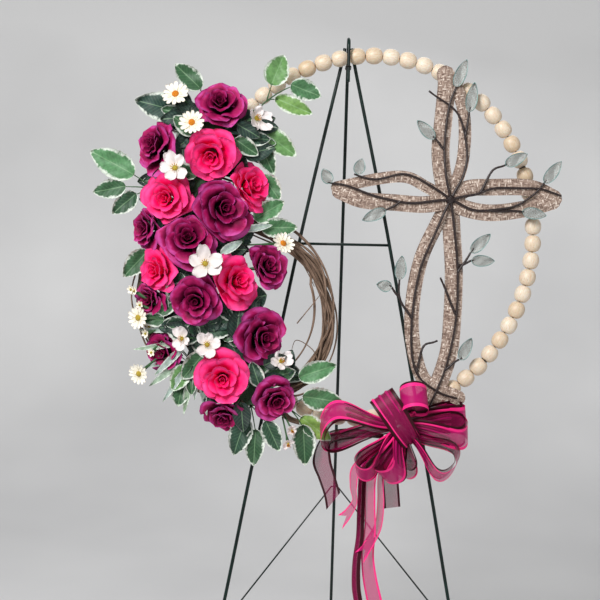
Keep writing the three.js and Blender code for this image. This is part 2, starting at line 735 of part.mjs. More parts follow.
function twig(line, thickness = 1.5) {
  const points = line.map(([u, v]) => at(u, v, twigDepth(u, v)));
  return wire(points, thickness, 4, Math.max(2, line.length - 1) * 2);
}

function metalLeaf(base, tip) {
  const w = twigDepth(...base) + 0.5;
  return leaf([...base, w], tip, 17, 0.02, 0);
}

const BOTTOM_LEFT = [CENTRE, [104, 14], [80, -50], [70, -125], [76, -190], [108, -222], [138, -231]];
const BOTTOM_RIGHT = [CENTRE, [129, 10], [135, -50], [134, -117], [122, -182], [98, -246]];
const TWIGS = {
  twigs_top: {
    lines: [
      [CENTRE, [115, 90], [112, 133], [117, 186], [128, 222]],
      [CENTRE, [141, 95], [144, 132], [130, 180], [88, 213]],
      [[142, 148], [148, 190]],
      [[112, 128], [95, 147]],
    ],
    leaves: [[[126, 219], [142, 259]], [[147, 183], [154, 226]], [[97, 143], [72, 169]]],
  },
  twigs_right: {
    lines: [
      [CENTRE, [157, 64], [189, 73], [243, 74], [282, 65]],
      [CENTRE, [160, 41], [205, 45], [240, 63], [260, 87]],
      [[165, 66], [181, 97], [203, 109]],
      [[180, 41], [230, 40]],
    ],
    leaves: [[[200, 107], [232, 124]], [[257, 82], [281, 114]], [[226, 40], [261, 35]]],
  },
  twigs_left: {
    lines: [
      [CENTRE, [70, 50], [29, 54], [-20, 70], [-56, 77]],
      [CENTRE, [92, 76], [52, 91], [12, 82], [-18, 90]],
      [[50, 51], [26, 36]],
    ],
    leaves: [[[29, 38], [-5, 23]], [[-52, 75], [-63, 96]], [[-13, 89], [-7, 112]]],
  },
  twigs_bottom_left: {
    lines: [BOTTOM_LEFT, [[70, -118], [52, -88], [51, -58]], [[52, -88], [37, -70]],
      [[78, -196], [88, -158], [108, -149]]],
    leaves: [[[51, -62], [54, -27]], [[40, -73], [18, -69]]],
  },
  twigs_bottom_right: {
    lines: [BOTTOM_RIGHT, [[135, -50], [157, -14]], [[135, -40], [158, -31]],
      [[133, -110], [110, -57]], [[120, -190], [144, -172]]],
    leaves: [[[153, -20], [181, 7]], [[154, -32], [188, -32]], [[141, -176], [157, -144]]],
  },
};

const knotDepth = armFront + CLEAR;
const knotProfile = (grow) => [
  [0, -grow], [KNOT_RADIUS + grow, -grow], [KNOT_RADIUS + grow, 4 + grow], [0, 6 + grow],
];
const knot = (grow) => placed([lathe(knotProfile(grow), 8)], at(...CENTRE, knotDepth), at(0, 0, 1), 0)[0];
add('cross_knot', knot(0), twigWire);
const crossTaken = [knot(CLEAR)];
Object.entries(TWIGS).forEach(([name, { lines, leaves }]) => {
  const body = fuse([...lines.map((line) => twig(line)), ...leaves.map((ends) => metalLeaf(...ends))]);
  add(name, clearOf(body, crossTaken), twigWire);
  crossTaken.push(...lines.map((line) => twig(line, 1.5 + CLEAR)));
});

// Tie wires: a ring in the groove between two beads, with a prong to what it holds.
function tie(bead, reach) {
  const place = hoopLine.getPointAt((bead % BEADS) / BEADS);
  const along = hoopLine.getTangentAt((bead % BEADS) / BEADS);
  const section = polygon(5, 1).map((point) => new THREE.Vector2(4.6 + point.x, point.y));
  const ring = new THREE.LatheGeometry([...section, section[0].clone()], 8).rotateX(Math.PI / 2);
  const [loop] = placed([ring], at(place.x, place.y, HOOP_DEPTH), at(along.x, along.y), 0);
  const prong = wire([
    at(place.x, place.y, HOOP_DEPTH + 4.6), at(place.x, place.y, reach - CLEAR),
  ], 1, 5);
  return fuse([loop, prong]);
}
const TIES = { tie_top: [6, STRIP.back], tie_right: [13, armBack], tie_bottom: [25, STRIP.back] };
Object.entries(TIES).forEach(([name, [bead, reach]]) => add(name, tie(bead, reach), tieWire));

// Bow: loops of ribbon that start and end in the knot, and tails below it.

const BOW = { at: [51, -277, 58], width: 38, wall: 1.2 };
const LOOPS = [
  { angle: 175, length: 106, puff: 15 },
  { angle: 228, length: 80, puff: 13 },
  { angle: 258, length: 72, puff: 12 },
  { angle: 322, length: 92, puff: 15 },
  { angle: 6, length: 92, puff: 14 },
  { angle: 62, length: 66, puff: 13 },
];

// The ribbon is gathered to a third of its width at the knot.
function bowLoop({ angle, length, puff }) {
  const path = [[8, -2], [length * 0.5, -puff], [length * 0.9, -puff * 0.7], [length, 0],
    [length * 0.9, puff * 0.7], [length * 0.5, puff], [8, 2]];
  const settings = { depth: BOW.width, bevelEnabled: false };
  const outline = new THREE.Shape(strip(path, BOW.wall, 8, false, false));
  const band = new THREE.ExtrudeGeometry(outline, settings).translate(0, 0, -BOW.width / 2);
  const place = band.attributes.position;
  for (let i = 0; i < place.count; i++) {
    const gather = Math.min(1, 0.25 + 0.011 * place.getX(i));
    place.setZ(i, place.getZ(i) * gather);
  }
  return solid(band.rotateY(-degrees(angle)).translate(BOW.at[0], -BOW.at[2], BOW.at[1]));
}

function bow() {
  const knotShape = [[0, -12], [13, -9], [16, 0], [13, 9], [0, 12]];
  const [middle] = placed([lathe(knotShape, 7)], at(...BOW.at), at(0, 0, 1), 0);
  const tieBack = wire([at(...BOW.at), at(51, -277, 28)], 1.2, 5);
  return fuse([middle, tieBack, ...LOOPS.map(bowLoop)]);
}
add('bow', clearOf(bow(), taken), organza);

// Tails hang from behind the knot, gathered side by side under a fold of ribbon.
const TAILS = {
  tails_left: {
    fold: [[32, -284], [47, -290]],
    depth: [34.8, 38.4],
    ribbons: [
      { width: 30, back: 37, line: [[44, -286], [-8, -280], [-56, -302], [-58, -340], [-34, -396]] },
      { width: 14, back: 35.2, line: [[40, -290], [6, -314], [-10, -346], [-14, -385], [-25, -404]] },
    ],
  },
  tails_right: {
    fold: [[56, -296], [70, -290]],
    depth: [38.7, 45.2],
    ribbons: [
      { width: 14, back: 39, line: [[60, -292], [14, -330], [2, -380], [-4, -470], [4, -556]] },
      { width: 16, back: 40.6, line: [[60, -292], [26, -340], [16, -412], [14, -477], [28, -550]] },
      { width: 13, back: 42.2, line: [[62, -292], [36, -350], [30, -410], [18, -442], [-2, -464]] },
      { width: 22, back: 43.8, line: [[62, -292], [50, -340], [47, -392]] },
    ],
  },
};
Object.entries(TAILS).forEach(([name, { fold, depth, ribbons }]) => {
  const gathered = slab(strip(fold, 16, 1, false, false), ...depth);
  const hanging = ribbons.map(({ width, back, line }) => (
    slab(strip(line, width, 8, true, false), back, back + BOW.wall)
  ));
  add(name, fuse([gathered, ...hanging]), organza);
});

// The origin is on the floor, under the middle of the whole object.
const whole = new THREE.Box3().setFromObject(wreath, true);
const middle = whole.getCenter(new THREE.Vector3());
wreath.position.x -= middle.x;
wreath.position.y -= middle.y;

export default wreath;
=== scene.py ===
import random
from functools import partial
from math import acos, copysign, cos, exp, hypot, pi, radians, sin, sqrt

import bpy
from mathutils import Matrix, Vector


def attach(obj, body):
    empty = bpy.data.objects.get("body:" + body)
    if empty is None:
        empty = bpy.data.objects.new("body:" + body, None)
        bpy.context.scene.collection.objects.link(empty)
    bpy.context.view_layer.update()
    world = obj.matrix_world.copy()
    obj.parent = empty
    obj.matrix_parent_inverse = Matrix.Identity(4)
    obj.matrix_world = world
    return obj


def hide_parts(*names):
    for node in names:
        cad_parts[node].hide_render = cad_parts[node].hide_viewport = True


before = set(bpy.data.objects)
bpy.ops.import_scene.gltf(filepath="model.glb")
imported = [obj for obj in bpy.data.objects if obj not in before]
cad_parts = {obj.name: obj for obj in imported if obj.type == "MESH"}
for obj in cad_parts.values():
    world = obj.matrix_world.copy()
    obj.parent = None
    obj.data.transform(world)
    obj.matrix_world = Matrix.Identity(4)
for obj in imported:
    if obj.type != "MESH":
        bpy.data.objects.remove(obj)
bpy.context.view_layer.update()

# The place of the wreath and the view of it.
# The wreath leans back nine degrees on its easel, and the camera looks square at it from 2.3 m.
LEAN = radians(9)
HOOP_CENTRE = Vector((58.413, -87.936, 910.236))
VIEW_AIM = (-92.3, -94.0)
VIEW_DISTANCE = 2300
VIEW_WIDTH = 882
VIEW_ROLL = radians(1.2)
SENSOR_WIDTH = 36


def in_plane(u, v, w=0.0):
    """A point in metres: u mm right of the hoop's centre, v above it, w before the front legs."""
    back, up = -w, v
    y = back * cos(LEAN) + up * sin(LEAN)
    z = up * cos(LEAN) - back * sin(LEAN)
    return (Vector((u, y, z)) + HOOP_CENTRE) / 1000


def towards(u, v, w=0.0):
    """A direction given along the same three axes."""
    return (in_plane(u, v, w) - in_plane(0, 0, 0)).normalized()


def new_object(name, data):
    """An object that holds the data, put in the scene."""
    made = bpy.data.objects.new(name, data)
    bpy.context.scene.collection.objects.link(made)
    return made


camera = new_object("camera", bpy.data.cameras.new("camera"))
bpy.context.scene.camera = camera
camera.data.sensor_width = SENSOR_WIDTH
camera.data.lens = SENSOR_WIDTH * VIEW_DISTANCE / VIEW_WIDTH
camera_axes = Matrix((
    towards(cos(VIEW_ROLL), sin(VIEW_ROLL)),
    towards(-sin(VIEW_ROLL), cos(VIEW_ROLL)),
    towards(0, 0, 1),
)).transposed().to_4x4()
camera.matrix_world = Matrix.Translation(in_plane(*VIEW_AIM, VIEW_DISTANCE)) @ camera_axes


def linear(code):
    """An sRGB hex colour as linear red, green, blue and alpha."""
    parts = [int(code[k:k + 2], 16) / 255 for k in (1, 3, 5)]
    return [c / 12.92 if c <= 0.04045 else ((c + 0.055) / 1.055) ** 2.4 for c in parts] + [1.0]


def plug(node, *values, **named):
    """Sets a node's first sockets in use, and its named ones, to values, outputs or other nodes."""
    firsts = [socket for socket in node.inputs if socket.enabled]
    chosen = [(node.inputs[key.replace("_", " ")], value) for key, value in named.items()]
    for socket, value in [*zip(firsts, values), *chosen]:
        if isinstance(value, bpy.types.Node):
            value = next(output for output in value.outputs if output.enabled)
        if isinstance(value, bpy.types.NodeSocket):
            node.id_data.links.new(value, socket)
        else:
            socket.default_value = value


def add_node(tree, kind, *values, stops=None, **named):
    """Adds a node, a shader's unless its kind says so: names in small letters are its settings."""
    new = tree.nodes.new(kind if "Node" in kind else "ShaderNode" + kind)
    for key in [key for key in named if key.islower()]:
        setattr(new, key, named.pop(key))
    if stops:
        ramp = new.color_ramp.elements
        while len(ramp) < len(stops):
            ramp.new(1.0)
        for stop, (place, colour) in zip(ramp, stops):
            stop.position = place
            stop.color = linear(colour)
    plug(new, *values, **named)
    return new


def new_surface(name, **values):
    """A material with one Principled shader, whose constant values are set on its own sockets."""
    made = bpy.data.materials.new(name)
    made.use_nodes = True
    shader = made.node_tree.nodes["Principled BSDF"]
    plug(shader, **values)
    return made, partial(add_node, made.node_tree), shader


# The room: a matt pale floor that curves up into a backdrop behind the easel, and even grey air.
# Broad soft lights stand high at the left, low at the right and behind.
floor_paint, floor_node, floor_shader = new_surface("matt_floor_paint", Roughness=0.95)
floor_map = floor_node("TexCoord")
floor_grain = floor_node("TexNoise", Vector=floor_map.outputs["Object"], Scale=1.1, Detail=3.0)
floor_split = floor_node("SeparateXYZ", Vector=floor_map.outputs["Object"])
# Painted light: the floor's colour grows lighter with height, darker on the floor and brighter up
# the backdrop, over a faint random grain.
floor_grain_and_light = floor_node(
    "Math", floor_split.outputs["Z"], 0.42, floor_grain, operation="MULTIPLY_ADD",
)
floor_colour = floor_node("ValToRGB", Fac=floor_grain_and_light, stops=[(0.35, "#cacacb"), (1.0, "#ececec")])
plug(floor_shader, Base_Color=floor_colour)
COVE_START = 1.2
COVE_RADIUS = 2.2
COVE_TOP = 9.0
FLOOR_REACH = 20.0
cove_line = [(-FLOOR_REACH, 0.0), (COVE_START, 0.0)]
for k in range(1, 25):
    angle = pi / 2 * k / 24
    cove_line.append((COVE_START + COVE_RADIUS * sin(angle), COVE_RADIUS * (1 - cos(angle))))
cove_line.append((COVE_START + COVE_RADIUS, COVE_TOP))
floor_points = [(x, y, z) for y, z in cove_line for x in (-FLOOR_REACH, FLOOR_REACH)]
floor_faces = [(2 * k, 2 * k + 1, 2 * k + 3, 2 * k + 2) for k in range(len(cove_line) - 1)]
floor_mesh = bpy.data.meshes.new("floor")
floor_mesh.from_pydata(floor_points, [], floor_faces)
floor_mesh.polygons.foreach_set("use_smooth", [True] * len(floor_faces))
floor_mesh.materials.append(floor_paint)
floor = new_object("floor", floor_mesh)

air = bpy.data.worlds.new("even_air")
air.use_nodes = True
air.node_tree.nodes["Background"].inputs["Color"].default_value = linear("#d2d2d2")
air.node_tree.nodes["Background"].inputs["Strength"].default_value = 0.55
bpy.context.scene.world = air
bpy.context.scene.view_settings.view_transform = "Standard"

SOFT_LIGHTS = {
    "high_left_light": ((-1.3, -2.2, 2.7), 1.1, 96),
    "low_right_light": ((2.2, -1.8, 1.3), 1.6, 12),
    "rear_light": ((0.6, 2.4, 2.4), 1.6, 16),
}
LIT_SPOT = in_plane(-60, 0)
for light_name, (light_place, light_size, power) in SOFT_LIGHTS.items():
    lamp = bpy.data.lights.new(light_name, "AREA")
    lamp.size = light_size
    lamp.energy = power
    holder = new_object(light_name, lamp)
    holder.location = light_place
    aim = LIT_SPOT - Vector(light_place)
    holder.rotation_euler = aim.to_track_quat("-Z", "Y").to_euler()


# The easel: round steel wire, bent and welded flat at the front, painted dark green.
# The back leg turns on a staple, and two thin wires brace it from pegs on the front legs.
AXIS = -29
TOP = 291
WIRE = 2.5
THIN_WIRE = 1.2
HOOP_DEPTH = 15
SPLAY = radians(22)
HINGE_DROP = 30
HINGE_DEPTH = -10
BRACE_DROP = 858
PEG_ACROSS = 163
CLIP_DISTANCE = 715
EYE_GAP = 0.1
EYE_STEPS = 28
LEG_LINE = [(5.0, 14), (11.5, 47), (66.5, 302), (130.5, 640), (170.7, 858), (243, 1230)]


def heading_at(line, k):
    """The direction of a line of points at its point k."""
    return (line[min(k + 1, len(line) - 1)] - line[max(k - 1, 0)]).normalized()


def polar(radius, turn, height=0.0):
    """A point at a radius and an angle round the Z axis."""
    return Vector((radius * cos(turn), radius * sin(turn), height))


class Form:
    """Points and faces that become one mesh, with a map in mm and two marks for each point."""

    def __init__(self):
        self.points, self.maps, self.marks, self.faces, self.kinds = [], [], [], [], []

    def point(self, place, spot=(0, 0), reach=0.0, tone=0.0):
        self.points.append(tuple(place))
        self.maps.append(spot)
        self.marks.append((reach, tone))
        return len(self.points) - 1

    def face(self, corners, kind=0):
        self.faces.append(corners)
        self.kinds.append(kind)

    def grid(self, rows, kind=0, flip=False):
        """Joins rows of point numbers with four-sided faces."""
        for low, high in zip(rows, rows[1:]):
            for k in range(len(low) - 1):
                corners = (low[k], low[k + 1], high[k + 1], high[k])
                self.face(corners[::-1] if flip else corners, kind)

    def tube(self, line, radius, sides=12, kind=0, tone=0.0):
        """A round closed tube along points, with one radius in mm or one for each point."""
        sizes = radius if isinstance(radius, list) else [radius] * len(line)
        across = (line[1] - line[0]).orthogonal().normalized()
        rings, run = [], 0.0
        for k, place in enumerate(line):
            along = heading_at(line, k)
            across = (across - along * across.dot(along)).normalized()
            other = along.cross(across)
            run += (place - line[k - 1]).length * 1000 if k else 0.0
            ring = []
            for s in range(sides + 1):
                turn = 2 * pi * s / sides
                out = (across * cos(turn) + other * sin(turn)) * sizes[k] / 1000
                spot = (turn * sizes[k], run)
                reach = k / (len(line) - 1)
                ring.append(self.point(place + out, spot, reach, tone) if s < sides else ring[0])
            rings.append(ring)
        self.grid(rings, kind)
        for ring, end, turn in ((rings[0], line[0], -1), (rings[-1], line[-1], 1)):
            middle = self.point(end, (0, run), 0.5, tone)
            for a, b in zip(ring, ring[1:]):
                self.face((middle, a, b) if turn > 0 else (middle, b, a), kind)

    def blade(self, rows, thickness, kind=0):
        """A thin closed sheet from rows of (place, spot, reach, tone), thickness in mm."""
        front, back = [], []
        for j, row in enumerate(rows):
            front.append([])
            back.append([])
            for k, (place, *marks) in enumerate(row):
                before, after = row[max(k - 1, 0)][0], row[min(k + 1, len(row) - 1)][0]
                below, above = rows[max(j - 1, 0)][k][0], rows[min(j + 1, len(rows) - 1)][k][0]
                lift = (after - before).cross(above - below).normalized() * thickness / 2000
                front[-1].append(self.point(place + lift, *marks))
                back[-1].append(self.point(place - lift, *marks))
        self.grid(front, kind)
        self.grid(back, kind, flip=True)
        rims = [
            (front[0], back[0], True), (front[-1], back[-1], False),
            ([r[0] for r in front], [r[0] for r in back], False),
            ([r[-1] for r in front], [r[-1] for r in back], True),
        ]
        for near, far, flip in rims:
            self.grid([near, far], kind, flip=not flip)

    def turned(self, frame_of, profile, sides, kind=0, tone=0.0):
        """A closed turned shape: (radius, height) pairs in mm about the frame's own Z axis."""
        rings = []
        for k, (out, up) in enumerate(profile):
            ring = []
            for s in range(sides):
                turn = 2 * pi * s / sides
                place = frame_of @ (polar(out, turn, up) / 1000)
                ring.append(self.point(place, (turn * out, up), k / len(profile), tone))
            rings.append(ring + ring[:1])
        self.grid(rings, kind)
        self.face(tuple(rings[0][:-1][::-1]), kind)
        self.face(tuple(rings[-1][:-1]), kind)

    def piece(self, name, surfaces, body, stands_for=()):
        """Makes the mesh a piece of the wreath that rides on a body."""
        mesh = bpy.data.meshes.new(name)
        mesh.from_pydata(self.points, [], self.faces)
        for surface in surfaces:
            mesh.materials.append(surface)
        mesh.polygons.foreach_set("material_index", self.kinds)
        mesh.polygons.foreach_set("use_smooth", [True] * len(self.faces))
        flat_map = mesh.uv_layers.new(name="cloth_mm")
        corners = [0] * len(mesh.loops)
        mesh.loops.foreach_get("vertex_index", corners)
        spots = [value for corner in corners for value in self.maps[corner]]
        flat_map.data.foreach_set("uv", spots)
        for number, label in enumerate(("reach", "tone")):
            kept = mesh.attributes.new(label, "FLOAT", "POINT")
            kept.data.foreach_set("value", [mark[number] for mark in self.marks])
        mesh.update()
        made = new_object(name, mesh)
        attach(made, body)
        if stands_for:
            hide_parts(*stands_for)
        return made


def smooth_line(points, steps):
    """An even curve through the points, as a bent wire takes."""
    ends = [2 * points[0] - points[1], *points, 2 * points[-1] - points[-2]]
    line = []
    spans = len(points) - 1
    for k in range(steps + 1):
        place = min(k / steps * spans, spans - 1e-6)
        span = int(place)
        t = place - span
        a, b, c, d = ends[span:span + 4]
        line.append(0.5 * (
            2 * b + (c - a) * t + (2 * a - 5 * b + 4 * c - d) * t ** 2
            + (3 * b - a - 3 * c + d) * t ** 3
        ))
    return line


def run_lengths(line):
    """How far along the line each of its points lies."""
    runs = [0.0]
    for here, there in zip(line, line[1:]):
        runs.append(runs[-1] + (there - here).length)
    return runs


def plane_line(points, steps):
    """The same kind of curve through points given in plane mm."""
    return smooth_line([in_plane(*point) for point in points], steps)


def down(across, drop, w=0.0):
    """A point measured from the top of the easel."""
    return in_plane(AXIS + across, TOP - drop, w)


def to_floor(line):
    """Ends a leg's line where it meets the floor."""
    kept = [place for place in line if place.z > 0.0015]
    last, before = kept[-1], kept[-2]
    step = (last - before).normalized()
    return kept + [last + step * (last.z / -step.z)]


def flush(form):
    """Cuts a leg's last ring level with the floor."""
    form.points = [(x, y, z if z >= 0.0012 else 0.0) for x, y, z in form.points]


def speckled_surface(name, kind, sockets, stops, bump=None, on_object=False, **values):
    """A surface with one texture, on the object or on its cloth map, that gives colour and bump."""
    made, node, shader = new_surface(name, **values)
    if on_object:
        place = node("TexCoord").outputs["Object"]
    else:
        place = node("UVMap", uv_map="cloth_mm")
    texture = node(kind, Vector=place, **sockets)
    colour = node("ValToRGB", Fac=texture, stops=stops)
    plug(shader, Base_Color=colour)
    if bump:
        strength, distance = bump
        raised = node("Bump", Strength=strength, Distance=distance, Height=texture)
        plug(shader, Normal=raised)
    return made, node, shader, colour


# The paint is dark green enamel on drawn wire: an even, slightly soft gloss with faint runs.
easel_paint, *_ = speckled_surface(
    "green_wire_enamel", "TexNoise", {"Scale": 1000 / 14, "Detail": 3.0},
    [(0.3, "#04110f"), (0.7, "#0a241f")], bump=(0.12, 0.0004), on_object=True,
    Roughness=0.38, Specular_IOR_Level=0.3,
)

for side, side_name in ((-1, "left"), (1, "right")):
    leg = Form()
    leg_points = [down(side * across, drop) for across, drop in LEG_LINE]
    leg.tube(to_floor(smooth_line(leg_points, 80)), WIRE)
    flush(leg)
    leg.tube([down(side * 170.7, BRACE_DROP), down(side * 159, BRACE_DROP)], 1.4)
    peg_head = [down(side * x, BRACE_DROP) for x in (160, 159.6, 158.4, 158)]
    leg.tube(peg_head, [1.8, 2.6, 2.6, 1.8], 16)
    leg.piece(
        f"{side_name}_front_leg", [easel_paint], "stand", [f"{side_name}_leg"],
    )

bar = Form()
bar.tube([down(-64.5, 302), down(64.5, 302)], 2.0)
bar.piece("easel_crossbar", [easel_paint], "stand", ["crossbar"])

hook_points = [down(0, 21, 0)]
for k in range(7):
    angle = pi * k / 6
    hook_points.append(down(0, 18 - HOOP_DEPTH * sin(angle), HOOP_DEPTH * (1 - cos(angle))))
hook_points += [down(0, 45, 30), down(0, 67, 30)]
hook = Form()
hook.tube(smooth_line(hook_points, 60), WIRE)
hook.piece("hoop_hook", [easel_paint], "stand", ["hanging_hook"])

staple = Form()
staple_points = [
    down(-10, HINGE_DROP, -2.8), down(-10, HINGE_DROP, -7), down(-8.6, HINGE_DROP, -9.6),
    down(0, HINGE_DROP, HINGE_DEPTH), down(8.6, HINGE_DROP, -9.6),
    down(10, HINGE_DROP, -7), down(10, HINGE_DROP, -2.8),
]
staple.tube(smooth_line(staple_points, 40), 2.0)
staple.piece("leg_staple", [easel_paint], "stand", ["hinge_staple"])


def on_back_leg(distance, behind=0.0, across=0.0):
    """A point on the back leg's line, by its distance from the hinge."""
    return down(
        across,
        HINGE_DROP + distance * cos(SPLAY) - behind * sin(SPLAY),
        HINGE_DEPTH - distance * sin(SPLAY) - behind * cos(SPLAY),
    )


def ring_line(centre, one, two, radius, start=0.0, sweep=2 * pi):
    """Points round a wire eye, in the plane of two directions, radius in mm."""
    turns = [start + sweep * k / EYE_STEPS for k in range(EYE_STEPS + 1)]
    return [centre + (one * cos(t) + two * sin(t)) * radius / 1000 for t in turns]


hinge = on_back_leg(0)
leg_way = (on_back_leg(100) - hinge).normalized()
leg_side = leg_way.cross(Vector((1, 0, 0))).normalized()
back = Form()
back.tube(ring_line(hinge, leg_way, leg_side, 4.6, EYE_GAP, 2 * pi - 2 * EYE_GAP), 2.0)
back.tube(to_floor([on_back_leg(4.6 + 20 * k) for k in range(64)]), WIRE)
flush(back)
back.piece("folding_back_leg", [easel_paint], "back_leg", ["back_leg"])

loop_behind = WIRE + 0.3 + THIN_WIRE
for side, side_name in ((-1, "left"), (1, "right")):
    peg = down(side * PEG_ACROSS, BRACE_DROP)
    tip = on_back_leg(CLIP_DISTANCE, loop_behind, side * 5)
    way = (tip - peg).normalized()
    eye_up = way.cross(Vector((1, 0, 0))).normalized()
    eye_way = Vector((1, 0, 0)).cross(eye_up).normalized()
    brace = Form()
    brace.tube(ring_line(peg, -eye_way, eye_up, 3.0, EYE_GAP, 2 * pi - 2 * EYE_GAP), THIN_WIRE, 10)
    brace.tube([peg + way * 0.0029, tip - way * 0.009], THIN_WIRE, 10)
    brace.piece(
        f"{side_name}_brace_wire", [easel_paint], "brace", [f"{side_name}_brace"],
    )
clip_points = []
for side in (-1, 1):
    tip = on_back_leg(CLIP_DISTANCE, loop_behind, side * 5)
    way = (tip - down(side * PEG_ACROSS, BRACE_DROP)).normalized()
    arm = [tip - way * 0.0087, tip - way * 0.0012, tip + Vector((-side * 0.0008, 0, 0))]
    clip_points += arm if side < 0 else arm[::-1]
clip = Form()
clip.tube(smooth_line(clip_points, 40), THIN_WIRE, 10)
clip.piece("brace_clip", [easel_paint], "brace", ["brace_loop"])


# The bead hoop: turned wooden beads, about an inch, strung on a stiff wire bent to an oval.
# Geometry Nodes sets a bead at each pitch of the oval and gives it its own turn and tone.
HOOP_A = 245.2
HOOP_B = 265.3
HOOP_TURN = radians(-10.94)
HOOP_START = radians(108.6)
BEADS = 64


def hoop_spot(angle):
    """A point of the oval, (u, v), by its own angle."""
    x, y = HOOP_A * cos(angle), HOOP_B * sin(angle)
    c, s = cos(HOOP_TURN), sin(HOOP_TURN)
    return x * c - y * s, x * s + y * c


FINE = 2000
oval = [hoop_spot(HOOP_START - 2 * pi * k / FINE) for k in range(FINE + 1)]
oval_runs = [0.0]
for (u0, v0), (u1, v1) in zip(oval, oval[1:]):
    oval_runs.append(oval_runs[-1] + hypot(u1 - u0, v1 - v0))


def along_hoop(share):
    """A point of the oval, (u, v), by its share of the way round from the hook."""
    want = (share % 1.0) * oval_runs[-1]
    low = max(k for k in range(0, FINE, 10) if oval_runs[k] <= want)
    while low < FINE - 1 and oval_runs[low + 1] < want:
        low += 1
    t = (want - oval_runs[low]) / (oval_runs[low + 1] - oval_runs[low])
    (u0, v0), (u1, v1) = oval[low], oval[low + 1]
    return u0 + (u1 - u0) * t, v0 + (v1 - v0) * t


# Light beech, turned and sanded: pale cream with fine tan grain along the bore, and a soft sheen.
bead_wood, wood_node, wood_shader = new_surface(
    "sanded_beech", Roughness=0.46, Coat_Weight=0.12, Coat_Roughness=0.35,
    Subsurface_Weight=0.06, Subsurface_Scale=0.004,
)
wood_own = wood_node("Attribute", attribute_name="own_place")
wood_tone = wood_node("Attribute", attribute_name="bead_tone")
wood_shift = wood_node(
    "VectorMath", wood_own.outputs["Vector"], wood_tone.outputs["Vector"], operation="ADD",
)
grain_place = wood_node("Mapping", Vector=wood_shift, Scale=(0.9, 0.9, 0.12))
grain = wood_node("TexNoise", Vector=grain_place, Scale=1.1, Detail=5.0, Distortion=0.6)
wood_colour = wood_node(
    "ValToRGB", Fac=grain,
    stops=[(0.25, "#cfae88"), (0.42, "#e2cfb6"), (0.6, "#eadfcf"), (0.8, "#f0e8de")],
)
wood_mixed = wood_node(
    "Mix", wood_tone.outputs["Fac"], wood_colour, linear("#e8dccb"), data_type="RGBA",
    blend_type="MULTIPLY",
)
wood_bump = wood_node("Bump", Strength=0.2, Distance=0.0003, Height=grain)
plug(wood_shader, Base_Color=wood_mixed, Normal=wood_bump)

bead_form = Form()
bead_profile = [(2.0, -11.4)]
for k in range(15):
    angle = pi * (k - 7) / 15
    bead_profile.append((2.2 + 10.2 * cos(angle) ** 0.85, 12.5 * sin(angle)))
bead_profile.append((2.0, 11.4))
bead_form.turned(Matrix.Identity(4), bead_profile, 24)
bead_mesh = bpy.data.meshes.new("one_bead")
bead_mesh.from_pydata(bead_form.points, [], bead_form.faces)
bead_mesh.polygons.foreach_set("use_smooth", [True] * len(bead_form.faces))
own_place = bead_mesh.attributes.new("own_place", "FLOAT_VECTOR", "POINT")
own_mm = [1000 * value for point in bead_form.points for value in point]
own_place.data.foreach_set("vector", own_mm)
one_bead = bpy.data.objects.new("one_bead", bead_mesh)

hoop_line_mesh = bpy.data.meshes.new("hoop_line")
hoop_points = [in_plane(*along_hoop((k + 0.5) / BEADS), HOOP_DEPTH) for k in range(BEADS)]
hoop_edges = [(k, (k + 1) % BEADS) for k in range(BEADS)]
hoop_line_mesh.from_pydata([tuple(place) for place in hoop_points], hoop_edges, [])
beads = new_object("bead_hoop", hoop_line_mesh)

string_tree = bpy.data.node_groups.new("strung_beads", "GeometryNodeTree")
for label, side, kind in (
    ("Geometry", "INPUT", "Geometry"), ("Bead", "INPUT", "Object"),
    ("Size change", "INPUT", "Float"), ("Wood", "INPUT", "Material"),
    ("Geometry", "OUTPUT", "Geometry"),
):
    string_tree.interface.new_socket(label, in_out=side, socket_type="NodeSocket" + kind)
string_node = partial(add_node, string_tree)
string_in = string_node("NodeGroupInput")
string_out = string_node("NodeGroupOutput")
one_info = string_node("GeometryNodeObjectInfo", Object=string_in.outputs["Bead"])
hoop_curve = string_node("GeometryNodeMeshToCurve", Mesh=string_in)
bead_spots = string_node("GeometryNodeCurveToPoints", Curve=hoop_curve, mode="EVALUATED")
least = string_node("Math", 1.0, string_in.outputs["Size change"], operation="SUBTRACT")
bead_size = string_node("FunctionNodeRandomValue", least, 1.0, Seed=5, data_type="FLOAT")
bead_turn = string_node("FunctionNodeRandomValue", 0.0, 6.28, Seed=9, data_type="FLOAT")
turn_vector = string_node("CombineXYZ", Z=bead_turn)
turned_bead = string_node(
    "FunctionNodeRotateRotation", Rotation=bead_spots.outputs["Rotation"], Rotate_By=turn_vector,
    rotation_space="LOCAL",
)
set_beads = string_node(
    "GeometryNodeInstanceOnPoints", Points=bead_spots, Instance=one_info.outputs["Geometry"],
    Rotation=turned_bead, Scale=bead_size,
)
tone_value = string_node("FunctionNodeRandomValue", 0.0, 1.0, Seed=21, data_type="FLOAT")
toned = string_node(
    "GeometryNodeStoreNamedAttribute", Geometry=set_beads, Name="bead_tone", Value=tone_value,
    data_type="FLOAT", domain="INSTANCE",
)
real_beads = string_node("GeometryNodeRealizeInstances", Geometry=toned)
wooden = string_node(
    "GeometryNodeSetMaterial", Geometry=real_beads, Material=string_in.outputs["Wood"],
)
plug(string_out, Geometry=wooden)


def grown(thing, tree, values):
    """Runs a tree on an object with its inputs set, and keeps the result as a plain mesh."""
    modifier = thing.modifiers.new(tree.name, "NODES")
    modifier.node_group = tree
    for item in tree.interface.items_tree:
        if item.in_out == "INPUT" and item.name in values:
            modifier[item.identifier] = values[item.name]
    seen = thing.evaluated_get(bpy.context.evaluated_depsgraph_get())
    result = bpy.data.meshes.new_from_object(seen)
    thing.modifiers.remove(modifier)
    thing.data = result


grown(beads, string_tree, {"Bead": one_bead, "Size change": 0.04, "Wood": bead_wood})
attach(beads, "stand")
quarters = ("top_right", "bottom_right", "bottom_left", "top_left")
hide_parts(*[f"beads_{quarter}" for quarter in quarters])

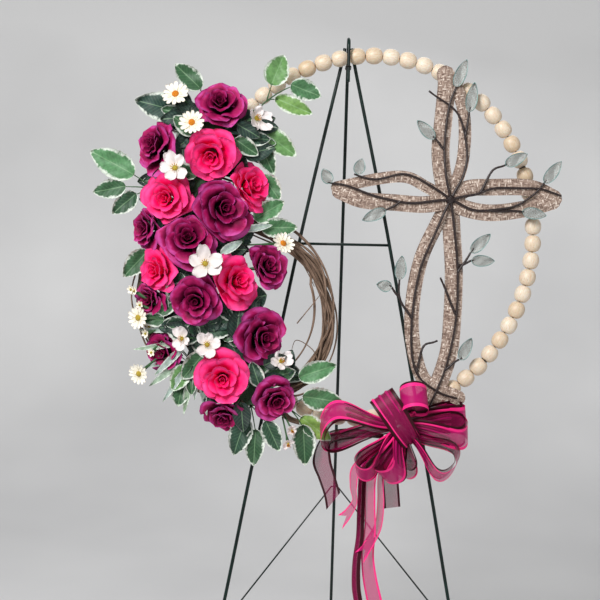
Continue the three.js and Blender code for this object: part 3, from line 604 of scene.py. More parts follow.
# Dark annealed wire: the hoop's own wire inside the beads, and the ties that hold the cross to it.
tie_wire, *_ = speckled_surface(
    "annealed_wire", "TexNoise", {"Scale": 1000 / 5}, [(0.3, "#1e1c1b"), (0.7, "#3c3733")],
    on_object=True, Metallic=0.7, Roughness=0.5,
)
core = Form()
core_line = [in_plane(*along_hoop(k / 160), HOOP_DEPTH) for k in range(160)]
core.tube(core_line + core_line[:1], 1.2, 8)
core.piece("hoop_wire", [tie_wire], "stand")

TIES = {"tie_top": (6, 28), "tie_right": (13, 33.3), "tie_bottom": (25, 28)}
for tie_name, (bead, reach_to) in TIES.items():
    here = along_hoop(bead / BEADS)
    after = along_hoop((bead + 0.05) / BEADS)
    outward = towards(after[1] - here[1], here[0] - after[0])
    centre = in_plane(*here, HOOP_DEPTH)
    tie = Form()
    for lane in (-0.8, 0.8):
        shift = towards(after[0] - here[0], after[1] - here[1]) * lane / 1000
        tie.tube(ring_line(centre + shift, outward, towards(0, 0, 1), 4.4), 0.8, 8)
    twisted = []
    for k in range(13):
        turn = k * 1.3
        w = HOOP_DEPTH + 4.2 + (reach_to - HOOP_DEPTH - 4.5) * k / 12
        twisted.append(in_plane(here[0] + 0.5 * cos(turn), here[1] + 0.5 * sin(turn), w))
    tie.tube(twisted, 0.8, 8)
    tie.piece(f"twisted_{tie_name}", [tie_wire], "stand", [tie_name])

band = Form()
band_points = []
for k in range(33):
    angle = 2 * pi * k / 32
    c, s = cos(angle), sin(angle)
    across = 3.6 * copysign(abs(c) ** 0.5, c)
    depth = HOOP_DEPTH + 18.6 * copysign(abs(s) ** 0.3, s)
    band_points.append(in_plane(AXIS + across, TOP - 47 + 1.5 + 1.2 * sin(angle / 2), depth))
band.tube(band_points, 0.9, 8)
band.piece("hook_keeper", [tie_wire], "stand", ["hook_tie"])

# The floral foam: a curved block of dry green foam behind the roses, with a hole for each stem.
# Its faces show fine open pores, and it is seen only where leaves and flowers leave gaps. The CAD's
# own solid stays for it and takes only this material.
foam_skin, *_ = speckled_surface(
    "dry_floral_foam", "TexVoronoi", {"Scale": 1000 / 1.6}, [(0.1, "#24382a"), (0.6, "#3f5a40")],
    bump=(0.5, 0.0005), on_object=True, Roughness=0.95,
)
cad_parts["foam"].material_slots[0].material = foam_skin


# The grapevine ring: brown vine stems wound round one another into a small ring, ends tucked in.
# The bark runs in fine strings along each stem. Loose stems, tendrils and cut stubs stand off it.
VINE_CENTRE = (-185, -109)
VINE_RADIUS = 131
VINE_SWELL = 10
VINE_DEPTH = 35.6

vine_bark, bark_node, bark_shader = new_surface("grapevine_bark", Roughness=0.85)
bark_map = bark_node("UVMap", uv_map="cloth_mm")
bark_stretch = bark_node("Mapping", Vector=bark_map, Scale=(0.9, 0.06, 1.0))
bark_tone = bark_node("Attribute", attribute_name="tone")
bark_strings = bark_node(
    "TexNoise", Vector=bark_stretch, W=bark_tone.outputs["Fac"], Scale=1.0, Detail=5.0,
    noise_dimensions="4D",
)
bark_colour = bark_node(
    "ValToRGB", Fac=bark_strings,
    stops=[(0.3, "#33241e"), (0.45, "#65503f"), (0.6, "#8a7160"), (0.78, "#b09a88")],
)
bark_bump = bark_node("Bump", Strength=0.6, Distance=0.0008, Height=bark_strings)
plug(bark_shader, Base_Color=bark_colour, Normal=bark_bump)


def vine_swell(angle):
    """How much wider than a circle the ring is at an angle."""
    return VINE_SWELL * cos(2 * (angle + radians(35)))


def vine_place(angle, out, up):
    """A point of the ring: out from its middle line and up from it, in mm."""
    radius = VINE_RADIUS + vine_swell(angle) + out
    u = VINE_CENTRE[0] + radius * cos(angle)
    v = VINE_CENTRE[1] + radius * sin(angle)
    return in_plane(u, v, VINE_DEPTH + up)


vines = Form()
chance = random.Random(11)
for k in range(17):
    start = chance.uniform(0, 2 * pi)
    sweep = radians(chance.uniform(330, 395))
    lane = 0.0 if k == 0 else (4.6 if k < 6 else 8.2)
    thick = chance.uniform(2.0, 2.9) if k < 6 else chance.uniform(1.1, 2.2)
    twist = chance.choice((-1, 1)) * chance.uniform(1.5, 3.6)
    phase = 2 * pi * k / 6.5
    wander = chance.uniform(0.6, 1.6)
    stray = chance.uniform(0, 9) if k > 9 else 0.0
    stray_at = chance.uniform(0, 2 * pi)
    line, sizes = [], []
    for j in range(121):
        angle = start + sweep * j / 120
        section = phase + twist * angle + 0.5 * sin(3 * angle + k)
        off = lane + wander * sin(5 * angle + 2 * k)
        away = stray * sin(2 * angle + stray_at)
        line.append(vine_place(angle, off * cos(section) + away, off * 0.85 * sin(section)))
        taper = min(1.0, 0.25 + 0.06 * min(j, 120 - j))
        knuckle = 1 + 0.12 * sin(11 * angle + 3 * k) ** 8
        sizes.append(thick * taper * knuckle)
    vines.tube(line, sizes, 10, tone=0.31 * k)
LOOSE_STEMS = [(78, -24, 141, 2.2), (34, -64, 114, 2.0)]
for k, (first, last, radius, thick) in enumerate(LOOSE_STEMS):
    line = []
    for j in range(61):
        angle = radians(first + (last - first) * j / 60)
        ease = min(1.0, min(j, 60 - j) / 9)
        off = (radius - VINE_RADIUS - vine_swell(angle)) * ease
        line.append(vine_place(angle, off, 2 + sin(9 * angle)))
    vines.tube(line, [thick * (0.8 + 0.2 * sin(7 * j / 60)) for j in range(61)], 10, tone=7.7 + k)
TENDRILS = [
    [(-300, -28, 40), (-292, 10, 42), (-268, 42, 46)],
    [(-62, -190, 42), (-72, -166, 47), (-96, -152, 46), (-104, -170, 43)],
    [(-120, -226, 42), (-92, -214, 46), (-74, -196, 44)],
    [(-96, -128, 40), (-74, -100, 45), (-62, -84, 43)],
]
for k, points in enumerate(TENDRILS):
    line = plane_line(points, 24)
    vines.tube(line, [0.9 - 0.5 * j / 24 for j in range(25)], 8, tone=9.1 + k)
STUBS = [
    ([(-128, -232, 40), (-109, -262, 43), (-84, -272, 44), (-58, -283, 43)], 5.2),
    ([(-120, -226, 44), (-96, -232, 47), (-70, -222, 48)], 2.0),
    ([(-118, -222, 46), (-92, -216, 50), (-72, -204, 50)], 1.7),
]
for k, (points, thick) in enumerate(STUBS):
    line = plane_line(points, 24)
    vines.tube(line, [thick * (1 - 0.45 * j / 24) for j in range(25)], 10, tone=14.3 + k)
vines.piece("wound_grapevine", [vine_bark], "stand", ["grapevine_ring"])


# The cross: padded strips of coarse woven jute, two to each arm, crowned and round at the ends.
# The upright's strips lie behind and the arm's strips cross in front of them.
CENTRE = (122, 55)
UPRIGHT = [
    (26, [(112, 240), (114, 222), (110, 170), (107, 125), (112, 85), CENTRE]),
    (18, [(130, 216), (139, 186), (142, 150), (139, 110), (130, 79), CENTRE]),
    (21, [CENTRE, (105, 22), (82, -31), (71, -95), (73, -153), (92, -208), (142, -232)]),
    (26, [CENTRE, (126, 5), (130, -50), (129, -117), (124, -170), (104, -232)]),
]
ARM = [
    (24, [CENTRE, (146, 72), (182, 75), (238, 75), (274, 60)]),
    (24, [CENTRE, (146, 43), (183, 38), (232, 45), (272, 57)]),
    (17, [CENTRE, (88, 73), (58, 87), (18, 84), (-44, 70)]),
    (24, [CENTRE, (86, 48), (40, 50), (-6, 53), (-40, 66)]),
]
UPRIGHT_BACK = 28
ARM_BACK = 33.3
STRIP_THICK = 5

jute, jute_node, jute_shader = new_surface("coarse_jute", Roughness=0.92, Sheen_Weight=0.15)
jute_map = jute_node("UVMap", uv_map="cloth_mm")
jute_split = jute_node("SeparateXYZ", Vector=jute_map)
jute_waves = []
for axis, pitch in (("X", 12.0), ("Y", 11.0)):
    turned_by = jute_node("Math", jute_split.outputs[axis], 2 * pi / pitch, operation="MULTIPLY")
    jute_waves.append(jute_node("Math", turned_by, operation="SINE"))
jute_over = jute_node("Math", jute_waves[0], jute_waves[1], operation="MULTIPLY")
jute_threads = []
for thread_scale in ((0.08, 0.45, 1.0), (0.45, 0.08, 1.0)):
    drawn = jute_node("Mapping", Vector=jute_map, Scale=thread_scale)
    jute_threads.append(jute_node("TexNoise", Vector=drawn, Scale=1.0, Detail=3.0, Roughness=0.6))
jute_side = jute_node("MapRange", Value=jute_over, From_Min=-0.12, From_Max=0.12)
jute_height = jute_node("Mix", jute_side, jute_threads[0], jute_threads[1], data_type="FLOAT")
jute_colour = jute_node(
    "ValToRGB", Fac=jute_height,
    stops=[(0.35, "#574339"), (0.45, "#877266"), (0.54, "#a58f81"), (0.65, "#e6d9cc")],
)
jute_bump = jute_node("Bump", Strength=0.8, Distance=0.0012, Height=jute_height)
plug(jute_shader, Base_Color=jute_colour, Normal=jute_bump)


def padded_strip(form, line, width, back):
    """A crowned strip along points in the plane, with round ends."""
    steps = 64
    flat = [Vector((u, v, 0)) for u, v in line]
    middle = smooth_line(flat, steps)
    over = width * 0.4
    first = (middle[0] - middle[1]).normalized() * over
    last = (middle[-1] - middle[-2]).normalized() * over
    middle = [middle[0] + first, middle[0] + first * 0.6, *middle]
    middle += [middle[-1] + last * 0.6, middle[-1] + last]
    runs = run_lengths(middle)
    fronts, backs = [], []
    for k, place in enumerate(middle):
        along = heading_at(middle, k)
        side = Vector((-along.y, along.x, 0))
        from_end = min(runs[k], runs[-1] - runs[k])
        near = max(0.0, 1 - from_end / (0.5 * width))
        half = width / 2 * sqrt(max(0.05, 1 - near ** 2.4))
        front_row, back_row = [], []
        for s in range(11):
            a = s / 5 - 1
            spot = place + side * (a * half)
            rise = STRIP_THICK * (1 - 0.55 * a * a) * (1 - 0.35 * near)
            pucker = 0.35 * sin(runs[k] / 7 + 3 * a)
            cloth = (a * half, runs[k])
            top = in_plane(spot.x, spot.y, back + rise + pucker)
            front_row.append(form.point(top, cloth, abs(a)))
            back_row.append(form.point(in_plane(spot.x, spot.y, back), cloth, abs(a)))
        fronts.append(front_row)
        backs.append(back_row)
    form.grid(fronts)
    form.grid(backs, flip=True)
    form.grid([fronts[0], backs[0]])
    form.grid([fronts[-1], backs[-1]], flip=True)
    form.grid([[row[0] for row in fronts], [row[0] for row in backs]], flip=True)
    form.grid([[row[-1] for row in fronts], [row[-1] for row in backs]])


for strip_name, strips, strip_back, stands_for in (
    ("jute_upright", UPRIGHT, UPRIGHT_BACK, "cross_upright"),
    ("jute_arm", ARM, ARM_BACK, "cross_arm"),
):
    strip_form = Form()
    for strip_width, strip_line in strips:
        padded_strip(strip_form, strip_line, strip_width, strip_back)
    strip_form.piece(strip_name, [jute], "stand", [stands_for])


# Twig sprays: dark brown wire twigs laid on the strips, with leaves cut from thin sheet metal.
# The leaves have a greyish verdigris finish, green at the edge and speckled with brown.
TWIGS = {
    "twigs_top": (
        [
            [CENTRE, (115, 90), (112, 133), (117, 186), (128, 222)],
            [CENTRE, (141, 95), (144, 132), (130, 180), (88, 213)],
            [(142, 148), (148, 190)], [(112, 128), (95, 147)],
        ],
        [((126, 219), (142, 259)), ((147, 183), (154, 226)), ((97, 143), (72, 169))],
    ),
    "twigs_right": (
        [
            [CENTRE, (157, 64), (189, 73), (243, 74), (282, 65)],
            [CENTRE, (160, 41), (205, 45), (240, 63), (260, 87)],
            [(165, 66), (181, 97), (203, 109)], [(180, 41), (230, 40)],
        ],
        [((200, 107), (232, 124)), ((257, 82), (281, 114)), ((226, 40), (261, 35))],
    ),
    "twigs_left": (
        [
            [CENTRE, (70, 50), (29, 54), (-20, 70), (-56, 77)],
            [CENTRE, (92, 76), (52, 91), (12, 82), (-18, 90)],
            [(50, 51), (26, 36)],
        ],
        [((29, 38), (-5, 23)), ((-52, 75), (-63, 96)), ((-13, 89), (-7, 112))],
    ),
    "twigs_bottom_left": (
        [
            [CENTRE, (104, 14), (80, -50), (70, -125), (76, -190), (108, -222), (138, -231)],
            [(70, -118), (52, -88), (51, -58)], [(52, -88), (37, -70)],
            [(78, -196), (88, -158), (108, -149)],
        ],
        [((51, -62), (54, -27)), ((40, -73), (18, -69))],
    ),
    "twigs_bottom_right": (
        [
            [CENTRE, (129, 10), (135, -50), (134, -117), (122, -182), (98, -246)],
            [(135, -50), (157, -14)], [(135, -40), (158, -31)],
            [(133, -110), (110, -57)], [(120, -190), (144, -172)],
        ],
        [((153, -20), (181, 7)), ((154, -32), (188, -32)), ((141, -176), (157, -144))],
    ),
}

twig_paint, *_ = speckled_surface(
    "brown_twig_wire", "TexNoise", {"Scale": 0.5, "Detail": 4.0},
    [(0.3, "#150d0d"), (0.55, "#2a1e1d"), (0.8, "#574340")], bump=(0.5, 0.0005),
    Roughness=0.38, Metallic=0.1,
)
verdigris, verd_node, verd_shader, verd_metal = speckled_surface(
    "verdigris_sheet", "TexNoise", {"Scale": 0.9, "Detail": 6.0},
    [(0.36, "#5c443e"), (0.45, "#86807a"), (0.56, "#a3adab"), (0.72, "#c3ccca")],
    Roughness=0.55, Metallic=0.15,
)
verd_edge = verd_node("Attribute", attribute_name="reach")
verd_ring = verd_node(
    "MapRange", Value=verd_edge.outputs["Fac"], From_Min=0.78, From_Max=1.0, To_Min=0.0, To_Max=0.7,
)
verd_colour = verd_node("Mix", verd_ring, verd_metal, linear("#5f9f9a"), data_type="RGBA")
plug(verd_shader, Base_Color=verd_colour)

TWIG_DEPTH = 35.0
TWIG_RISE = 5.3


def twig_depth(v):
    """How far forward a twig lies: low on the upright, higher over the arm."""
    return TWIG_DEPTH + TWIG_RISE * exp(-(((v - CENTRE[1]) / 70) ** 4))


def leaf_rows(base, tip, width, droop, across=8, along=32, tone=0.0, fold=0.16, teeth=0.1):
    """Rows for a leaf's blade: a folded rib, a toothed waved edge and an arched tip."""
    way = Vector((tip[0] - base[0], tip[1] - base[1], 0))
    length = way.length
    way.normalize()
    side = Vector((way.y, -way.x, 0))
    rows = []
    for j in range(along + 1):
        b = j / along
        tooth = 1 + teeth * (b * 8 % 1.0)
        half = (0.02 + 2.45 * b ** 0.55 * (1 - b) ** 0.8 * tooth) * width / 2
        row = []
        for s in range(across + 1):
            a = 2 * s / across - 1
            wave = 0.05 * width * sin(9 * b + 3 * a + base[0])
            rise = fold * width * abs(a) ** 0.8 + wave - droop * length * b * b
            spot = Vector((base[0], base[1], 0)) + way * (length * b) + side * (a * half)
            edge = max(abs(a), 1 - 4 * (1 - b) if b > 0.8 else 0)
            place = in_plane(spot.x, spot.y, base[2] + rise)
            row.append((place, (a * half, b * length), edge, tone))
        rows.append(row)
    return rows


for twigs_name, (twig_lines, metal_leaves) in TWIGS.items():
    twigs = Form()
    for n, points in enumerate(twig_lines):
        bends = [in_plane(u, v, twig_depth(v)) for u, v in points]
        line = smooth_line(bends, 20 * len(points))
        wobble = [towards(0, 1, 0) * 0.0007 * sin(0.17 * k + n) for k in range(len(line))]
        line = [place + shake for place, shake in zip(line, wobble)]
        last = len(line) - 1
        twigs.tube(line, [2.0 - 0.6 * k / last + 0.1 * sin(0.9 * k) for k in range(last + 1)], 10)
    for (u, v), tip in metal_leaves:
        rows = leaf_rows((u, v, twig_depth(v) + 0.5), tip, 17, 0.02, along=16, fold=0.1, teeth=0)
        twigs.blade(rows, 0.6, kind=1)
    twigs.piece(f"wire_{twigs_name}", [twig_paint, verdigris], "stand", [twigs_name])

# The knot: the same brown wire wound both ways over the crossing of the strips.
KNOT_DEPTH = 39.4
knot = Form()
for k in range(10):
    heading = radians((38 if k % 2 else -42) + 5 * sin(3 * k))
    offset = (k // 2 - 2) * 1.5
    line = []
    for j in range(13):
        x = -6 + 12 * j / 12
        u = CENTRE[0] + x * cos(heading) - offset * sin(heading)
        v = CENTRE[1] + x * sin(heading) + offset * cos(heading)
        bulge = (3.0 + 0.2 * k) * sqrt(max(0.0, 1 - (x / 6.3) ** 2))
        line.append(in_plane(u, v, KNOT_DEPTH + bulge))
    knot.tube(line, 0.8, 8)
knot.piece("wound_knot", [twig_paint], "stand", ["cross_knot"])


# The roses: silk petals on a green wire stem that stands in the foam, in plum and hot pink.
# Six rings of petals open from a closed heart, and each head is pressed between its neighbours.
FOAM_LINE = [(-202, 166), (-236, 80), (-247, -11), (-237, -97), (-203, -168), (-146, -228)]
FOAM_FRONT = 64
FOAM_BACK = 44.25
FOAM_HALF_WIDTH = 26
STEM_SPREAD = 13
PETAL_THICK = 0.4
PETAL_GAP = 0.8
FOAM_GAP = 0.3
GIVE = 6
FOAM_GIVE = 3
ROSES = {
    "rose_top": ("plum", (-211, 181, 72), 34, 90, 28),
    "rose_top_outer": ("plum", (-302, 122, 62), 35, 170, 48),
    "rose_top_front": ("pink", (-221, 109, 82), 39, 250, 26),
    "rose_shoulder_pink": ("pink", (-284, 46, 75), 36, 180, 20),
    "rose_upper_plum": ("plum", (-205, 33, 92), 41, 0, 25),
    "rose_upper_inner": ("pink", (-168, 66, 66), 36, 20, 48),
    "rose_middle": ("plum", (-252, -12, 88), 38, 90, 14),
    "rose_side_plum": ("plum", (-314, 4, 56), 28, 180, 52),
    "rose_side_pink": ("pink", (-295, -57, 66), 33, 180, 42),
    "rose_lower_pink": ("pink", (-184, -70, 78), 37, 10, 36),
    "rose_lower_plum": ("plum", (-238, -98, 90), 37, 225, 12),
    "rose_inner_plum": ("plum", (-142, -48, 62), 31, 20, 42),
    "rose_low_inner": ("plum", (-146, -148, 72), 38, 350, 34),
    "rose_low_pink": ("pink", (-199, -207, 86), 36, 270, 12),
    "rose_low_right": ("plum", (-124, -236, 70), 29, 310, 30),
    "rose_bottom": ("plum", (-198, -260, 60), 28, 265, 46),
    "rose_side_low": ("plum", (-306, -98, 56), 27, 185, 42),
    "rose_side_bottom": ("plum", (-284, -172, 58), 28, 205, 38),
}
# Each ring: its petals, a petal's half width in degrees, its start and length as shares of the
# head's size, and its slope in degrees at the foot, the middle and the tip.
PETAL_RINGS = [
    (2, 104, (0.03, -0.10), 0.46, (86, 90, 84)),
    (3, 84, (0.06, -0.14), 0.58, (74, 90, 66)),
    (3, 78, (0.09, -0.20), 0.72, (56, 84, 40)),
    (4, 64, (0.12, -0.26), 0.88, (38, 72, 0)),
    (5, 54, (0.13, -0.32), 1.02, (20, 54, -30)),
    (5, 54, (0.14, -0.36), 1.12, (2, 32, -42)),
]
PROFILE_STEPS = 24

# Silk: darker at each petal's foot and lighter towards its edge, with a fine weave and a soft
# bloom. On the roses this is painted shade at the foot and heart and a painted highlight at the
# rim.
SILKS = {
    "pink": [(0.0, "#8c0030"), (0.28, "#e60056"), (0.64, "#ff0a68"), (1.0, "#ff4c98")],
    "plum": [
        (0.0, "#070003"), (0.36, "#270012"), (0.64, "#740038"), (0.84, "#aa105a"), (1.0, "#c84a9a"),
    ],
    "cream": [(0.0, "#cfc28f"), (0.3, "#eee6cf"), (1.0, "#f8f3e6")],
    "white": [(0.0, "#c2ca90"), (0.35, "#dcd2cd"), (1.0, "#eee6e6")],
}
silks = {}
for silk_name, silk_stops in SILKS.items():
    silk, silk_node, silk_shader = new_surface(
        f"{silk_name}_silk", Roughness=0.6, Specular_IOR_Level=0.2,
    )
    silk_map = silk_node("UVMap", uv_map="cloth_mm")
    # The reach mark places each point on the ramp; on the roses it holds painted shade at the foot
    # and heart and a painted highlight at the rim.
    silk_reach_and_shade = silk_node("Attribute", attribute_name="reach")
    silk_cloud = silk_node("TexNoise", Vector=silk_map, Scale=0.09, Detail=4.0)
    silk_place = silk_node(
        "Math", silk_cloud, 0.7, silk_reach_and_shade.outputs["Fac"], operation="MULTIPLY_ADD",
    )
    silk_level = silk_node("Math", silk_place, 0.37, operation="SUBTRACT")
    silk_colour = silk_node("ValToRGB", Fac=silk_level, stops=silk_stops)
    silk_weave = silk_node("TexNoise", Vector=silk_map, Scale=1.3, Detail=3.0)
    silk_bump = silk_node("Bump", Strength=0.25, Distance=0.0004, Height=silk_weave)
    plug(silk_shader, Base_Color=silk_colour, Normal=silk_bump)
    silks[silk_name] = silk

stem_green, *_ = speckled_surface(
    "green_stem_wrap", "TexNoise", {"Scale": 0.4, "Detail": 3.0},
    [(0.3, "#1f3d22"), (0.7, "#3f6a3a")], Roughness=0.6,
)

foam_flat = [Vector((u, v, 0)) for u, v in FOAM_LINE]
foam_run = smooth_line(foam_flat, 60)


def foam_near(u, v):
    """The nearest point of the foam's middle line."""
    return min(foam_run, key=lambda spot: (spot - Vector((u, v, 0))).length)


def tipped(direction, angle):
    """Faces forward, tipped by an angle towards a direction in the plane."""
    way, tip = radians(direction), radians(angle)
    return polar(sin(tip), way, cos(tip))


def flower_frame(place, facing, spin):
    """A flower's own frame in plane mm: its Z axis faces outwards."""
    turn = Vector((0, 0, 1)).rotation_difference(facing).to_matrix().to_4x4()
    return Matrix.Translation(Vector(place)) @ turn @ Matrix.Rotation(spin, 4, "Z")


def petal_profile(start, length, slopes):
    """The petal's middle line as (radius, height) at equal steps, from its slopes."""
    first, middle, last = slopes
    radius, height = start
    line = [(radius, height)]
    for k in range(PROFILE_STEPS):
        b = (k + 0.5) / PROFILE_STEPS
        angle = first * (1 - b) * (1 - 2 * b) + middle * 4 * b * (1 - b) + last * b * (2 * b - 1)
        radius += length / PROFILE_STEPS * cos(radians(angle))
        height += length / PROFILE_STEPS * sin(radians(angle))
        line.append((radius, height))
    return line


def pressed(spot, walls, floor):
    """Eases a petal's point off the neighbours' planes and the foam, as soft cloth gives way."""
    for origin, way, limit in walls:
        depth = (spot - origin).dot(way)
        if depth > limit - GIVE:
            eased = limit - GIVE + GIVE * (1 - exp(-(depth - limit + GIVE) / GIVE))
            spot = spot + way * (eased - depth)
    if spot.z < floor + FOAM_GIVE:
        height = floor + FOAM_GIVE * exp((spot.z - floor - FOAM_GIVE) / FOAM_GIVE)
        spot = Vector((spot.x, spot.y, height))
    return spot


for number, (rose_name, (silk_name, place, size, direction, angle)) in enumerate(ROSES.items()):
    chance = random.Random(100 + number)
    own = Vector(place)
    foot = foam_near(place[0], place[1])
    over_foam = (Vector((own.x, own.y, 0)) - foot).length < FOAM_HALF_WIDTH + size
    floor_level = (FOAM_FRONT if over_foam else FOAM_BACK) + FOAM_GAP
    walls = []
    for other_name, (_, other_place, other_size, _, _) in ROSES.items():
        gap = Vector(other_place) - own
        if other_name == rose_name or gap.length > 1.05 * (size + other_size):
            continue
        share = (gap.length ** 2 + size ** 2 - other_size ** 2) / (2 * gap.length)
        walls.append((own, gap.normalized(), share - PETAL_GAP))
    frame_here = flower_frame(place, tipped(direction, angle), number * 1.1)
    rose = Form()
    for tier, (petals, half_width, *course) in enumerate(PETAL_RINGS):
        profile = petal_profile(*course)
        for k in range(petals):
            turn = (k + tier * 0.37) * 2 * pi / petals + chance.uniform(-0.12, 0.12)
            long = size * chance.uniform(0.9, 1.1)
            lean = chance.uniform(-0.12, 0.1)
            ruffle = chance.uniform(0, 6.28)
            rows = []
            for j in range(9):
                b = j / 8
                row = []
                for s in range(11):
                    a = s / 5 - 1
                    reach = b * (1 - 0.26 * abs(a) ** (1.5 + 0.2 * tier))
                    step = min(PROFILE_STEPS - 0.001, reach * PROFILE_STEPS)
                    (r0, h0), (r1, h1) = profile[int(step)], profile[int(step) + 1]
                    part = step - int(step)
                    radius = (r0 + (r1 - r0) * part) * (1 + 0.1 * a + lean)
                    height = h0 + (h1 - h0) * part
                    ripple = 0.024 * sin(4 * a + ruffle) + 0.012 * sin(9 * a - ruffle)
                    height += ripple * b * b * tier
                    height -= 0.02 * tier * abs(a) ** 3 * b * b
                    sweep = turn + a * radians(half_width) * (0.72 + 0.28 * b)
                    local = polar(radius, sweep, height) * long
                    spot = pressed(frame_here @ local, walls, floor_level)
                    # Painted light in the reach mark: painted shade darkens each petal's foot and
                    # the inner rings of the heart, and a painted highlight lightens the rim and
                    # tip.
                    painted_foot_shade = b * (0.5 + 0.1 * tier) + 0.05
                    painted_rim_highlight = 0.12 * max(0.0, max(abs(a), b) - 0.85) / 0.15 * b
                    cloth = (a * size * 0.5 + 7 * number, reach * long + 31 * k)
                    row.append((in_plane(*spot), cloth, min(1.0, painted_foot_shade + painted_rim_highlight), tier / 5))
                rows.append(row)
            rose.blade(rows, PETAL_THICK)
    side = Vector((own.x - foot.x, own.y - foot.y, 0))
    if side.length > STEM_SPREAD:
        side = side.normalized() * STEM_SPREAD
    stem_end = Vector((foot.x + side.x, foot.y + side.y, FOAM_BACK + 7))
    stem_line = [in_plane(*(stem_end + (own - stem_end) * t)) for t in (0, 0.3, 0.6, 0.8, 0.95)]
    rose.tube(stem_line, [1.6, 1.6, 1.6, 2.4, 5.0], 10, kind=1)
    rose.piece(
        f"silk_{rose_name}", [silks[silk_name], stem_green], "stand",
        [rose_name],
    )


# The daisies: narrow cream silk petals with notched tips round a bumpy orange eye, on a thin stem.
# The two at the left are paler and greener, with small buds, and all stand in the foam.
DAISIES = {
    "daisies_top": [
        ((-276, 196, 70), 20, 110, 25, (-222, 158, 56)),
        ((-250, 153, 96), 19, 120, 15, (-222, 158, 56)),
    ],
    "daisy_inner": [((-118, -14, 72), 18, 40, 40, (-222, -20, 56))],
    "daisies_left": [
        ((-322, -124, 72), 17, 190, 30, (-236, -128, 56)),
        ((-320, -204, 66), 16, 210, 30, (-236, -128, 56)),
    ],
}
pollen, pollen_node, pollen_shader, pollen_warm = speckled_surface(
    "flocked_flower_eye", "TexVoronoi", {"Scale": 1.1}, [(0.1, "#f2a516"), (0.6, "#c86a08")],
    bump=(0.7, 0.0008), Roughness=0.9,
)
pollen_tone = pollen_node("Attribute", attribute_name="tone")
pollen_green = pollen_node(
    "Mix", pollen_tone.outputs["Fac"], pollen_warm, linear("#a8a83c"), data_type="RGBA",
)
plug(pollen_shader, Base_Color=pollen_green)


def open_flower(form, flower, petals, broad, cup, eye_tone, seed):
    """A flower of single petals round an eye, and its stem into the foam."""
    place, size, direction, angle, root = flower
    daisy = petals > 5
    chance = random.Random(seed)
    own_frame = flower_frame(place, tipped(direction, angle), chance.uniform(0, 6.28))
    for k in range(petals):
        turn = 2 * pi * (k + chance.uniform(-0.12, 0.12) * (1 if daisy else 2.4)) / petals
        long = size * (chance.uniform(0.92, 1.03) if daisy else chance.uniform(0.78, 1.12))
        lift = chance.uniform(-0.06, 0.08) if daisy else chance.uniform(-0.2, 0.3)
        rows = []
        for j in range(9):
            b = j / 8
            half = broad * (0.25 + 0.75 * sin(pi * min(1, 0.1 + 0.66 * b)) ** 1.2) * long
            row = []
            for s in range(7):
                a = s / 3 - 1
                reach = b * (1 - 0.16 * abs(a) ** 3 - 0.05 * exp(-(a / 0.3) ** 2))
                out = 0.12 * size + (long - 0.12 * size) * reach
                across = a * half
                up = (cup + lift) * out * out / size - 0.05 * size * (1 - a * a) * sin(3 * b)
                up += (0.03 if daisy else 0.1) * size * sin(6 * b + 4 * a + 2 * k) * b
                local = Vector((
                    out * cos(turn) - across * sin(turn),
                    out * sin(turn) + across * cos(turn), up + 0.3 * (k % 2),
                ))
                cloth = (across + 9 * k, out)
                row.append((in_plane(*(own_frame @ local)), cloth, min(1.0, 0.2 + b), 0.0))
            rows.append(row)
        form.blade(rows, PETAL_THICK)
    frame_metres = Matrix.Translation(in_plane(*place)) @ Matrix((
        towards(*(own_frame.to_3x3() @ Vector((1, 0, 0)))),
        towards(*(own_frame.to_3x3() @ Vector((0, 1, 0)))),
        towards(*(own_frame.to_3x3() @ Vector((0, 0, 1)))),
    )).transposed().to_4x4()
    eye = (0.26 if daisy else 0.17) * size
    dome = ((0.7, -1.6), (1, 0.4), (0.95, 1.6), (0.75, 2.7), (0.4, 3.4))
    dome = [(eye * out, up) for out, up in dome] + [(0.3, 3.6)]
    form.turned(frame_metres, dome, 16, kind=2, tone=eye_tone)
    if not daisy:
        for k in range(9):
            turn = 2 * pi * k / 9
            foot = own_frame @ polar(eye * 0.6, turn, 2)
            tip = own_frame @ polar(eye * 1.3, turn, 6.5)
            form.tube([in_plane(*foot), in_plane(*tip)], [0.3, 0.6], 6, kind=2, tone=0.2)
    stem_line = [in_plane(*(Vector(root).lerp(Vector(place), t))) for t in (0, 0.35, 0.7, 0.93)]
    form.tube(stem_line, [1.2, 1.2, 1.2, 2.6], 8, kind=1)


flower_surfaces = {colour: [silks[colour], stem_green, pollen] for colour in ("cream", "white")}
for number, (daisy_name, daisies) in enumerate(DAISIES.items()):
    daisy_form = Form()
    eye_tone = 0.7 if daisy_name == "daisies_left" else 0.0
    for k, flower in enumerate(daisies):
        open_flower(daisy_form, flower, 14, 0.17, 0.15, eye_tone, 40 + 5 * number + k)
    if daisy_name == "daisies_left":
        for k in range(9):
            bud_place = (-334 + 4.5 * k, -84 - 11 * k + 14 * sin(2.4 * k), 62 + 6 * sin(3 * k))
            bud = (bud_place, 6.5, 190, 30, (-262, -128, 58))
            open_flower(daisy_form, bud, 6, 0.3, 0.4, 0.8, 60 + k)
    daisy_form.piece(
        f"silk_{daisy_name}", flower_surfaces["cream"], "stand", [daisy_name],
    )

